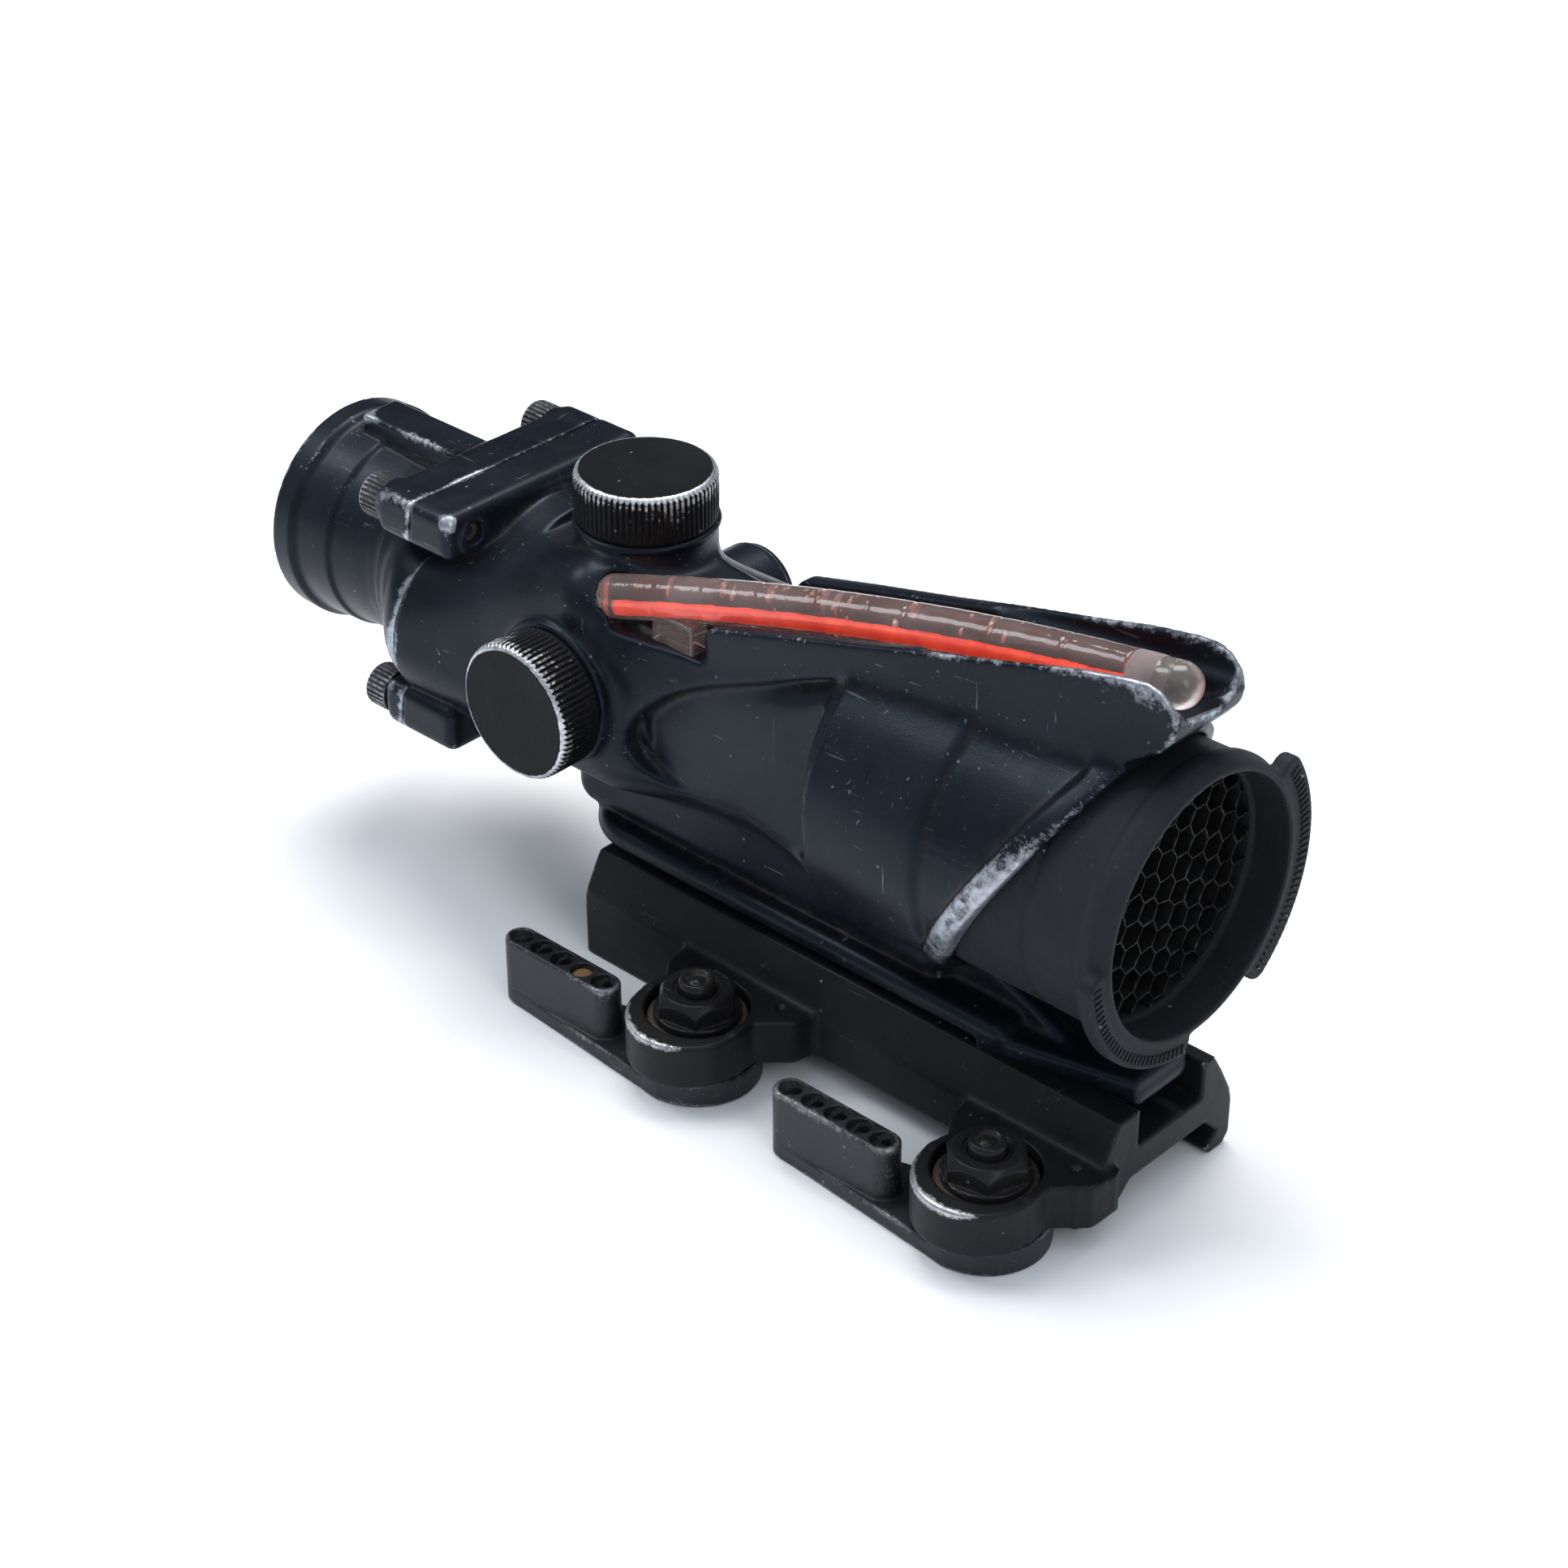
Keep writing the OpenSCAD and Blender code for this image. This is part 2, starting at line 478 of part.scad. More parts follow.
// Clamp body: far jaw in one piece, channel for the housing's tongue, two lever ears.
module clamp_base() {
  color([0.06, 0.06, 0.065]) on_axis() difference() {
    union() {
      push_x(0, clamp_len) polygon([[-6.7, -29.2], [-11, -29.2], [-12.5, -31.8], [-13.6, -33.9], [-14.2, -35.2], [-14.2, ear_bot_z], [-9.9, ear_bot_z], [-rail_top_half, seat_z], [rail_top_half, seat_z], [rail_half + 0.05, -42.4], [8.6, -44.45], [9.4, -45.5], [12.4, -45.5], [13.7, -43.9], [13.7, -38.9], [13.1, -36.5], [11, -32.5], [9, -29.2], [6.7, -29.2], [6.7, -35], [-6.7, -35]]);
      translate([0, -14.2, floor_z + 0.1]) cube([18.6, 2.5, 8]);
      clamp_ear(pivot_rear_x);
      clamp_ear(pivot_front_x);
      translate([pivot_front_x - 9, -19, ear_bot_z]) cube([clamp_len - pivot_front_x + 9, 8, ear_top_z - ear_bot_z]);
    }
    for (px = [pivot_rear_x, pivot_front_x]) {
      translate([px, pivot_y, -37.4]) cylinder(r = 7.2, h = 12, $fn = 96);
      translate([px, pivot_y, -50]) cylinder(r = 3.05, h = 30, $fn = 64);
    }
    for (x = [22, 62]) { translate([x, 0, -45]) cylinder(r = 2.3, h = 14, $fn = 48); translate([x, 0, -45]) cylinder(r = 4.3, h = 8.2, $fn = 64); }
    // bevel on the rear end
    translate([-1.2, -20, -33]) rotate([0, -20, 0]) translate([-8, 0, 0]) cube([8, 40, 12]);
  }
}

// Two socket head screws that hold the clamp on the housing's tongue.
module clamp_screws() {
  color([0.2, 0.2, 0.21]) on_axis() for (x = [22, 62]) translate([x, 0, 0]) difference() {
    union() { translate([0, 0, -39.6]) cylinder(r = 4.2, h = 2.75, $fn = 48); translate([0, 0, -37]) cylinder(r = 2, h = 12, $fn = 32); }
    translate([0, 0, -39.7]) cylinder(r = 2, h = 1.7, $fn = 6);
  }
}

// Quick release lever: foot disc with a cam nose for the rail, arm and upright finger tab with five blind holes.
module lever() {
  difference() {
    union() {
      translate([0, 0, floor_z]) cylinder(r = lever_r, h = 3.9, $fn = 96);
      translate([0, 0, floor_z]) linear_extrude(height = 3.9) polygon([[-3.5, 6], [4.5, 6], [3.8, 11.9], [-1, 12.3], [-3, 11.6]]);
      translate([0, 0, floor_z]) linear_extrude(height = 3.9) { polygon([[1, -lever_r], [-29.8, -6.8], [-29.8, -2.6], [-8, 3.9]]); }
      translate([-30, -6.9, floor_z]) cube([16.4, 4.7, 10.6]);
      for (x = [-30, -13.6]) translate([x, -4.55, floor_z]) cylinder(r = 2.35, h = 10.6, $fn = 48);
    }
    for (i = [0 : 4]) translate([-29.8 + 4 * i, -4.55, floor_z + 8.2]) cylinder(r = 1.6, h = 3, $fn = 32);
    translate([0, 0, -50]) cylinder(r = 2.6, h = 12, $fn = 48);
  }
}
module stud() {
  difference() {
    union() { translate([0, 0, -37.35 - 7.9]) cylinder(r = 2.55, h = 5, $fn = 48); translate([0, 0, -41]) cylinder(r = 2.55, h = 11, $fn = 48); }
    translate([0, 0, -30.6]) cylinder(r = 0.9, h = 2, $fn = 24);
  }
}
module nut() {
  difference() {
    union() {
      intersection() { translate([0, 0, -35.9]) rotate([0, 0, 12]) cylinder(r = 5.9, h = 4.3, $fn = 6); translate([0, 0, -35.9]) cylinder(r1 = 6.3, r2 = 5.4, h = 4.3, $fn = 64); }
      translate([0, 0, -35.9]) cylinder(r = 6.1, h = 1, $fn = 64);
    }
    translate([0, 0, -40]) cylinder(r = 2.6, h = 12, $fn = 48);
  }
}
module washer() { difference() { translate([0, 0, -37.38]) cylinder(r = 6.9, h = 1.4, $fn = 64); translate([0, 0, -40]) cylinder(r = 2.6, h = 6, $fn = 48); } }
module at_rear() { on_axis() translate([pivot_rear_x, pivot_y, 0]) children(); }
module at_front() { on_axis() translate([pivot_front_x, pivot_y, 0]) children(); }

module rear_lever() { color([0.13, 0.13, 0.14]) at_rear() lever(); }
module rear_stud() { color([0.2, 0.2, 0.21]) at_rear() stud(); }
module rear_nut() { color([0.2, 0.2, 0.21]) at_rear() nut(); }
module rear_washer() { color([0.18, 0.16, 0.14]) at_rear() washer(); }
module front_lever() { color([0.13, 0.13, 0.14]) at_front() lever(); }
module front_stud() { color([0.2, 0.2, 0.21]) at_front() stud(); }
module front_nut() { color([0.2, 0.2, 0.21]) at_front() nut(); }
module front_washer() { color([0.18, 0.16, 0.14]) at_front() washer(); }

main_housing();
eyepiece_housing();
housing_seal();
housing_screws();
lock_screw();
eye_lens();
eye_ring();
field_lens();
prism_cell();
entry_prism();
roof_prism();
gimbal_ring();
reticle();
lamp();
objective_lens();
objective_ring();
elevation_dial();
elevation_cap();
elevation_seal();
windage_dial();
windage_cap();
windage_seal();
spring_cap();
spring_plunger();
light_tube();
light_fibre();
tube_plug();
tube_foot();
glare_sleeve();
glare_comb();
clamp_base();
clamp_screws();
rear_lever();
rear_stud();
rear_nut();
rear_washer();
front_lever();
front_stud();
front_nut();
front_washer();
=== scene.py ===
import math

import bpy
import numpy as np
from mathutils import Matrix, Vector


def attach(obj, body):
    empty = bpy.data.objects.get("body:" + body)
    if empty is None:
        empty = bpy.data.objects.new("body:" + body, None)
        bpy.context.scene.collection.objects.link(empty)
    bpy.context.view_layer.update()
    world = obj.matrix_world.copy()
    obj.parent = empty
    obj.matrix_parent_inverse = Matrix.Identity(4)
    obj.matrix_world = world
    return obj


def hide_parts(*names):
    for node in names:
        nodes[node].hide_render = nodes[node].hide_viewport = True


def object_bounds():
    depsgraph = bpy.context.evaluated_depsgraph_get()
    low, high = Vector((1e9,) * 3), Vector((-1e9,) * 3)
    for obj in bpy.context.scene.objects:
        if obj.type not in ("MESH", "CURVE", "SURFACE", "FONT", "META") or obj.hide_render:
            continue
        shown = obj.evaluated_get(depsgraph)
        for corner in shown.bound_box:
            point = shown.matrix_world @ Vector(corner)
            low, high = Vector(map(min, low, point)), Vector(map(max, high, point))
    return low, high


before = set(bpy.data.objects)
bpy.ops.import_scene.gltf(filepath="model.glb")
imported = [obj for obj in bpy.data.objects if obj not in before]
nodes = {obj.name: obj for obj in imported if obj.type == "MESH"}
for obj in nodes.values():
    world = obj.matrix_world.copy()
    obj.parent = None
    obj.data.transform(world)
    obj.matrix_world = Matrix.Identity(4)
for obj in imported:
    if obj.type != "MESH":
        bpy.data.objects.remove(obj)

import openvdb
from mathutils import Matrix, Vector

cad_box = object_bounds()
scene = bpy.context.scene

# ---------------------------------------------------------------------------
# Floor, lamps and camera.
# A white table top under an overcast soft box, looked down on from the front
# and to the right of the sight.
# ---------------------------------------------------------------------------
floor_height = cad_box[0][2]
floor_mesh = bpy.data.meshes.new("floor")
reach = 6.0
floor_mesh.from_pydata([(-reach, -reach, 0), (reach, -reach, 0), (reach, reach, 0), (-reach, reach, 0)],
                       [], [(0, 1, 2, 3)])
floor = bpy.data.objects.new("floor", floor_mesh)
floor.location.z = floor_height
scene.collection.objects.link(floor)

paper = bpy.data.materials.new("table_top")
paper.use_nodes = True
paper_shader = paper.node_tree.nodes["Principled BSDF"]
paper_shader.inputs["Roughness"].default_value = 0.9
paper_shader.inputs["Specular IOR Level"].default_value = 0.1
paper_noise = paper.node_tree.nodes.new("ShaderNodeTexNoise")
paper_noise.inputs["Scale"].default_value = 3.0
paper_ramp = paper.node_tree.nodes.new("ShaderNodeValToRGB")
paper_ramp.color_ramp.elements[0].color = (0.90, 0.905, 0.92, 1)
paper_ramp.color_ramp.elements[1].color = (0.93, 0.935, 0.945, 1)
paper.node_tree.links.new(paper_noise.outputs["Fac"], paper_ramp.inputs["Fac"])
paper.node_tree.links.new(paper_ramp.outputs["Color"], paper_shader.inputs["Base Color"])
floor_mesh.materials.append(paper)

world = bpy.data.worlds.new("studio")
world.use_nodes = True
sky = world.node_tree.nodes["Background"]
sky.inputs["Color"].default_value = (0.80, 0.88, 1.0, 1)
sky_place = world.node_tree.nodes.new("ShaderNodeTexCoord")
sky_split = world.node_tree.nodes.new("ShaderNodeSeparateXYZ")
sky_rise = world.node_tree.nodes.new("ShaderNodeMapRange")      # dark room low down, bright ceiling above
for socket, value in (("From Min", 0.50), ("From Max", 0.86), ("To Min", 0.38), ("To Max", 1.1)):
    sky_rise.inputs[socket].default_value = value
world.node_tree.links.new(sky_place.outputs["Generated"], sky_split.inputs[0])
world.node_tree.links.new(sky_split.outputs["Z"], sky_rise.inputs["Value"])
card_side = world.node_tree.nodes.new("ShaderNodeVectorMath")   # a black card stands behind the sight
card_side.operation = "DOT_PRODUCT"
card_side.inputs[1].default_value = (-0.577, 0.619, 0.533)
card_edge = world.node_tree.nodes.new("ShaderNodeMapRange")
for socket, value in (("From Min", 0.62), ("From Max", 0.86), ("To Min", 1.0), ("To Max", 0.04)):
    card_edge.inputs[socket].default_value = value
sky_seen = world.node_tree.nodes.new("ShaderNodeMath")
sky_seen.operation = "MULTIPLY"
world.node_tree.links.new(sky_place.outputs["Generated"], card_side.inputs[0])
world.node_tree.links.new(card_side.outputs["Value"], card_edge.inputs["Value"])
world.node_tree.links.new(sky_rise.outputs["Result"], sky_seen.inputs[0])
world.node_tree.links.new(card_edge.outputs["Result"], sky_seen.inputs[1])
world.node_tree.links.new(sky_seen.outputs[0], sky.inputs["Strength"])
scene.world = world
scene.view_settings.view_transform = "Standard"


def soft_box(name, place, aim, width, height, power, colour):
    """A rectangular soft box at place, facing aim."""
    lamp_data = bpy.data.lights.new(name, "AREA")
    lamp_data.shape = "RECTANGLE"
    lamp_data.size, lamp_data.size_y = width, height
    lamp_data.energy = power
    lamp_data.color = colour
    lamp_object = bpy.data.objects.new(name, lamp_data)
    lamp_object.location = place
    lamp_object.rotation_euler = (Vector(aim) - Vector(place)).to_track_quat("-Z", "Y").to_euler()
    scene.collection.objects.link(lamp_object)


soft_box("overhead", (-0.24, 0.33, 1.05), (0, 0, 0), 0.8, 0.6, 13.0, (1.0, 0.98, 0.96))
soft_box("left_high", (-0.75, -0.30, 0.95), (0, 0, 0.02), 0.4, 0.4, 3.5, (0.96, 0.98, 1.0))
soft_box("front_right", (0.75, -0.25, 0.5), (0, 0, 0.02), 0.35, 0.5, 1.2, (1.0, 0.98, 0.95))

camera_azimuth, camera_elevation = math.radians(42.978), math.radians(32.216)
right = Vector((math.cos(camera_azimuth), math.sin(camera_azimuth), 0))
back = Vector((math.sin(camera_azimuth) * math.cos(camera_elevation),
               -math.cos(camera_azimuth) * math.cos(camera_elevation), math.sin(camera_elevation)))
camera_data = bpy.data.cameras.new("camera")
camera_data.lens, camera_data.sensor_width = 79.38, 36.0
camera = bpy.data.objects.new("camera", camera_data)
camera.matrix_world = (Matrix.Translation((0.253876, -0.295286, 0.28148))
                       @ Matrix((right, back.cross(right), back)).transposed().to_4x4())
scene.collection.objects.link(camera)
scene.camera = camera

# ---------------------------------------------------------------------------
# Front casting.
# One aluminium investment casting: prism body with adjuster bosses, scooped
# neck, bell with a slanted hood, two rails round the light tube, and the foot
# that the clamp bolts to. Blue-black anodised, rubbed to bare metal on edges.
# ---------------------------------------------------------------------------
MM = 0.001
knob_station, axis_height = -47.0, 39.6        # where the knob axes cross the optical axis, mm
to_row = np.array([knob_station, 0.0, axis_height])


class Clay:
    """A block of clay on a grid, in mm from the knobs' crossing; d is the distance to the surface."""

    def __init__(self, low, high, step):
        self.low, self.step = np.array(low, float), step
        self.count = [int(math.ceil((h - l) / step)) + 1 for l, h in zip(low, high)]
        x, y, z = (low[i] + step * np.arange(self.count[i], dtype=np.float32) for i in range(3))
        self.x, self.y, self.z = x[:, None, None], y[None, :, None], z[None, None, :]
        self.d = np.full(self.count, 50.0, np.float32)
        self.form = None

    def mark_edges(self):
        """Edges worn by handling are those of the form so far; bores cut later leave no wear outside."""
        self.form = self.d.copy()

    def join(self, other, blend=0.0):
        self.d = union(self.d, other, blend)

    def cut(self, other, blend=0.0):
        self.d = -union(-self.d, other, blend)

    def keep(self, other, blend=0.0):
        self.d = -union(-self.d, -other, blend)

    def block(self, low, high, r=0.0):
        """A box with edges rounded to r."""
        q = [abs(a - (l + h) / 2) - ((h - l) / 2 - r) for a, l, h in zip((self.x, self.y, self.z), low, high)]
        outside = np.sqrt(sum(np.maximum(a, 0) ** 2 for a in q))
        return outside + np.minimum(np.maximum(np.maximum(q[0], q[1]), q[2]), 0) - r

    def post(self, axis, centre, low, high, radius, r=0.0):
        """A round post along axis 0, 1 or 2 with its rims rounded to r."""
        a = (self.x, self.y, self.z)
        u, v = [a[i] for i in range(3) if i != axis]
        side = np.sqrt((u - centre[0]) ** 2 + (v - centre[1]) ** 2) - (radius - r)
        end = abs(a[axis] - (low + high) / 2) - ((high - low) / 2 - r)
        return rounded_corner(side, end) - r

    def ball(self, centre, radius):
        cx, cy, cz = centre
        return np.sqrt((self.x - cx) ** 2 + (self.y - cy) ** 2 + (self.z - cz) ** 2) - radius

    def limb(self, a, b, ra, rb):
        """A rounded bar from a to b whose radius runs from ra to rb."""
        a, b = np.array(a, float), np.array(b, float)
        run = b - a
        t = ((self.x - a[0]) * run[0] + (self.y - a[1]) * run[1] + (self.z - a[2]) * run[2]) / run.dot(run)
        t = np.clip(t, 0, 1)
        return np.sqrt((self.x - a[0] - t * run[0]) ** 2 + (self.y - a[1] - t * run[1]) ** 2
                       + (self.z - a[2] - t * run[2]) ** 2) - (ra + (rb - ra) * t)

    def outline(self, points, axis, low, high, r=0.0):
        """A flat outline in the two other directions, pushed along axis from low to high."""
        a = (self.x, self.y, self.z)
        u, v = [a[i] for i in range(3) if i != axis]
        flat = outline_distance(u, v, points) + r
        end = abs(a[axis] - (low + high) / 2) - ((high - low) / 2 - r)
        return rounded_corner(flat, end) - r

    def turned(self, points, r=0.0):
        """A profile of (x, radius) turned about the optical axis."""
        from_axis = np.sqrt(self.y ** 2 + self.z ** 2)[0]
        steps = np.arange(0, float(from_axis.max()) + 0.5, 0.1, dtype=np.float32)
        table = outline_distance(self.x[:, :, 0], steps[None, :], points) - r
        place = from_axis / 0.1
        i = np.minimum(place.astype(int), len(steps) - 2)
        f = (place - i).astype(np.float32)
        return table[:, i] * (1 - f) + table[:, i + 1] * f

    def lofted(self, stations):
        """A rounded rectangle that changes along x; stations are
        (x, middle y, middle z, half y, half z, corner)."""
        stations = np.array(stations, float)
        x = self.x[:, 0, 0]
        soft = np.exp(-0.5 * (np.arange(-12, 13) * self.step / 1.3) ** 2)
        values = []
        for column in range(1, 6):
            v = np.interp(x, stations[:, 0], stations[:, column])
            v = np.convolve(np.pad(v, 12, mode="edge"), soft / soft.sum(), mode="valid")
            values.append(v.astype(np.float32)[:, None, None])
        my, mz, hy, hz, corner = values
        qy, qz = abs(self.y - my) - (hy - corner), abs(self.z - mz) - (hz - corner)
        d = rounded_corner(qy, qz) - corner
        return np.maximum(d, np.maximum(stations[0, 0] - self.x, self.x - stations[-1, 0]))

    def fired(self, name, replaced, body, material, rub=0.9, rubbed=(), clean=(), scuffs=()):
        """Turns the clay into a mesh piece. Each vertex keeps how sharply it stands out, as edge_wear_and_painted_light;
        rubbed and clean are (x, y, z, reach, gain) places where edges are more or less worn than elsewhere,
        scuffs are places worn whether they stand out or not."""
        surface = openvdb.FloatGrid(9.0)
        surface.copyFromArray(np.ascontiguousarray(np.clip(self.d, -3, 3) / self.step, dtype=np.float32))
        points, _, quads = surface.convertToPolygons(0.0, 0.0)
        slope = np.stack(np.gradient(self.d), axis=-1)
        blurred = np.clip(self.d if self.form is None else self.form, -4, 4)
        level = blurred.copy()
        width = max(1, int(round(rub / self.step)))
        for axis in range(3):
            for _ in range(2):
                blurred = running_mean(blurred, axis, width)
        normals = at_points(slope, points)
        normals /= np.maximum(np.linalg.norm(normals, axis=1, keepdims=True), 1e-6)
        stands_out = at_points((blurred - level)[..., None], points)[:, 0]
        spot = points * self.step + self.low
        for x, y, z, size, gain in rubbed:
            stands_out = stands_out + gain * nearness(spot, x, y, z, size) * np.clip(stands_out / 0.08, 0, 1)
        for x, y, z, size, gain in scuffs:
            stands_out = stands_out + gain * nearness(spot, x, y, z, size)
        for x, y, z, size, gain in clean:
            stands_out = stands_out * (1 - gain * nearness(spot, x, y, z, size))
        place = (spot + to_row) * MM
        mesh = bpy.data.meshes.new(name)
        mesh.vertices.add(len(place))
        mesh.vertices.foreach_set("co", place.astype(np.float32).ravel())
        quads = quads.astype(np.int32)
        mesh.loops.add(quads.size)
        mesh.loops.foreach_set("vertex_index", quads.ravel())
        mesh.polygons.add(len(quads))
        mesh.polygons.foreach_set("loop_start", np.arange(0, quads.size, 4, dtype=np.int32))
        mesh.update(calc_edges=True)
        mesh.validate()
        mesh.polygons.foreach_set("use_smooth", np.ones(len(mesh.polygons), bool))
        edge = mesh.attributes.new("edge_wear_and_painted_light", "FLOAT", "POINT")
        edge.data.foreach_set("value", stands_out.astype(np.float32))
        mesh.normals_split_custom_set_from_vertices(normals)
        return fitted(name, mesh, body, material, replaced)


def fitted(name, mesh, body, material, replaced):
    """Puts a finished mesh on its body in place of its design nodes."""
    mesh.materials.append(material)
    piece = bpy.data.objects.new(name, mesh)
    scene.collection.objects.link(piece)
    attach(piece, body)
    if replaced:
        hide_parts(*replaced)
    return piece


def union(a, b, blend):
    if blend <= 0:
        return np.minimum(a, b)
    h = np.maximum(blend - abs(a - b), 0) / blend
    return np.minimum(a, b) - h * h * h * blend / 6


def rounded_corner(a, b):
    """Distance to where both a and b are negative, round outside its corner."""
    return np.sqrt(np.maximum(a, 0) ** 2 + np.maximum(b, 0) ** 2) + np.minimum(np.maximum(a, b), 0)


def outline_distance(u, v, points):
    """Signed distance to a closed outline, negative inside."""
    points = np.array(points, float)
    d = None
    inside = False
    for (au, av), (bu, bv) in zip(points, np.roll(points, -1, axis=0)):
        eu, ev = bu - au, bv - av
        t = np.clip(((u - au) * eu + (v - av) * ev) / max(eu * eu + ev * ev, 1e-9), 0, 1)
        far = (u - au - t * eu) ** 2 + (v - av - t * ev) ** 2
        d = far if d is None else np.minimum(d, far)
        if av != bv:
            crosses = (np.greater(av, v) != np.greater(bv, v)) & (u < (bu - au) * (v - av) / (bv - av) + au)
            inside = np.logical_xor(inside, crosses)
    return (np.where(inside, -1, 1) * np.sqrt(d)).astype(np.float32)


def nearness(spots, x, y, z, size):
    """1 at x, y, z, falling off smoothly over size."""
    return np.exp(-((spots[:, 0] - x) ** 2 + (spots[:, 1] - y) ** 2 + (spots[:, 2] - z) ** 2) / size ** 2)


def running_mean(a, axis, width):
    """Mean over 2 * width + 1 cells along one axis."""
    padded = np.concatenate([np.repeat(a.take([0], axis), width + 1, axis), a,
                             np.repeat(a.take([-1], axis), width, axis)], axis)
    total = np.cumsum(padded, axis=axis, dtype=np.float64)
    n = a.shape[axis]
    late = np.take(total, np.arange(2 * width + 1, 2 * width + 1 + n), axis)
    early = np.take(total, np.arange(0, n), axis)
    return ((late - early) / (2 * width + 1)).astype(np.float32)


def at_points(field, points):
    """Value of a grid field at points given in cells, blended between the eight cells around."""
    last = np.array(field.shape[:3]) - 2
    i = np.clip(np.floor(points).astype(int), 0, last)
    f = points - i
    out = 0
    for dx in (0, 1):
        for dy in (0, 1):
            for dz in (0, 1):
                w = ((f[:, 0] if dx else 1 - f[:, 0]) * (f[:, 1] if dy else 1 - f[:, 1])
                     * (f[:, 2] if dz else 1 - f[:, 2]))
                out = out + w[:, None] * field[i[:, 0] + dx, i[:, 1] + dy, i[:, 2] + dz]
    return out


def group(name, inputs, outputs):
    """A shader node group with named inputs and outputs."""
    tree = bpy.data.node_groups.new(name, "ShaderNodeTree")
    for label, kind, value in inputs:
        socket = tree.interface.new_socket(label, in_out="INPUT", socket_type=kind)
        if value is not None:
            socket.default_value = value
    for label, kind in outputs:
        tree.interface.new_socket(label, in_out="OUTPUT", socket_type=kind)
    return tree, tree.nodes.new("NodeGroupInput"), tree.nodes.new("NodeGroupOutput")


def node(tree, kind, inputs=None, **settings):
    """One shader node; an input is a value or the socket that feeds it."""
    made = tree.nodes.new(kind)
    for key, value in settings.items():
        setattr(made, key, value)
    for key, value in (inputs or {}).items():
        if isinstance(value, bpy.types.NodeSocket):
            tree.links.new(value, made.inputs[key])
        else:
            made.inputs[key].default_value = value
    return made


def mix(tree, factor, a, b):
    """Colour a turning into colour b by factor."""
    made = node(tree, "ShaderNodeMix", data_type="RGBA")
    for key, value in ((0, factor), (6, a), (7, b)):
        if isinstance(value, bpy.types.NodeSocket):
            tree.links.new(value, made.inputs[key])
        else:
            made.inputs[key].default_value = value
    return made.outputs[2]


def maths(tree, operation, a, b=0.0, clamp=False):
    return node(tree, "ShaderNodeMath", {0: a, 1: b}, operation=operation, use_clamp=clamp).outputs[0]


def ramp(tree, value, low, high):
    """0 at low and 1 at high, clamped."""
    return node(tree, "ShaderNodeMapRange", {"Value": value, "From Min": low,
                                             "From Max": high}).outputs["Result"]


# Edge wear: the coating has rubbed through where the surface stands out, in broken patches.
wear_tree, wear_in, wear_out = group(
    "edge_wear", [("Reach", "NodeSocketFloat", 0.3), ("Patchiness", "NodeSocketFloat", 0.5),
                  ("Patch size", "NodeSocketFloat", 3.0)], [("Bare metal", "NodeSocketFloat")])
wear_edge = node(wear_tree, "ShaderNodeAttribute", attribute_name="edge_wear_and_painted_light")
wear_place = node(wear_tree, "ShaderNodeTexCoord").outputs["Object"]
wear_scale = maths(wear_tree, "DIVIDE", 1000.0, wear_in.outputs["Patch size"])
wear_big = node(wear_tree, "ShaderNodeTexNoise", {"Vector": wear_place, "Scale": wear_scale, "Detail": 8.0,
                                                  "Roughness": 0.78})
wear_wide = node(wear_tree, "ShaderNodeTexNoise", {"Vector": wear_place, "Scale": 90.0, "Detail": 2.0})
wear_both = maths(wear_tree, "ADD", wear_big.outputs["Fac"],
                  maths(wear_tree, "MULTIPLY", wear_wide.outputs["Fac"], 0.8))
wear_centred = maths(wear_tree, "MULTIPLY", maths(wear_tree, "SUBTRACT", wear_both, 0.9),
                     wear_in.outputs["Patchiness"])
wear_sum = maths(wear_tree, "ADD", wear_edge.outputs["Fac"], wear_centred)
wear_mask = node(wear_tree, "ShaderNodeMapRange", {
    "Value": wear_sum, "From Min": wear_in.outputs["Reach"],
    "From Max": maths(wear_tree, "ADD", wear_in.outputs["Reach"], 0.16)})
wear_tree.links.new(wear_mask.outputs["Result"], wear_out.inputs["Bare metal"])

# Fine scratches: short hairlines in several directions, more of them in some places than others.
scratch_tree, scratch_in, scratch_out = group(
    "hairline_scratches", [("Amount", "NodeSocketFloat", 0.5), ("Size", "NodeSocketFloat", 1.0)],
    [("Scratch", "NodeSocketFloat")])
scratch_place = node(scratch_tree, "ShaderNodeTexCoord").outputs["Object"]
scratch_sum = None
for turn, stretch in (((0.3, 0.9, 0.5), (75, 1700, 1500)), ((1.2, 0.2, 2.1), (1500, 90, 1300)),
                      ((2.0, 1.4, 0.3), (1200, 1600, 100))):
    turned_place = node(scratch_tree, "ShaderNodeMapping",
                        {"Vector": scratch_place, "Rotation": turn, "Scale": stretch})
    lines = node(scratch_tree, "ShaderNodeTexNoise",
                 {"Vector": turned_place.outputs[0], "Scale": 1.0, "Detail": 1.5,
                                                      "Distortion": 0.5})
    sharp = ramp(scratch_tree, lines.outputs["Fac"], 0.715, 0.75)
    scratch_sum = sharp if scratch_sum is None else maths(scratch_tree, "MAXIMUM", scratch_sum, sharp)
scratch_spread = node(scratch_tree, "ShaderNodeTexNoise",
                      {"Vector": scratch_place, "Scale": 130.0, "Detail": 2.0})
scratch_where = ramp(scratch_tree, scratch_spread.outputs["Fac"], 0.48, 0.66)
scratch_tree.links.new(
    maths(scratch_tree, "MULTIPLY", maths(scratch_tree, "MULTIPLY", scratch_sum, scratch_where),
          scratch_in.outputs["Amount"], True), scratch_out.inputs["Scratch"])

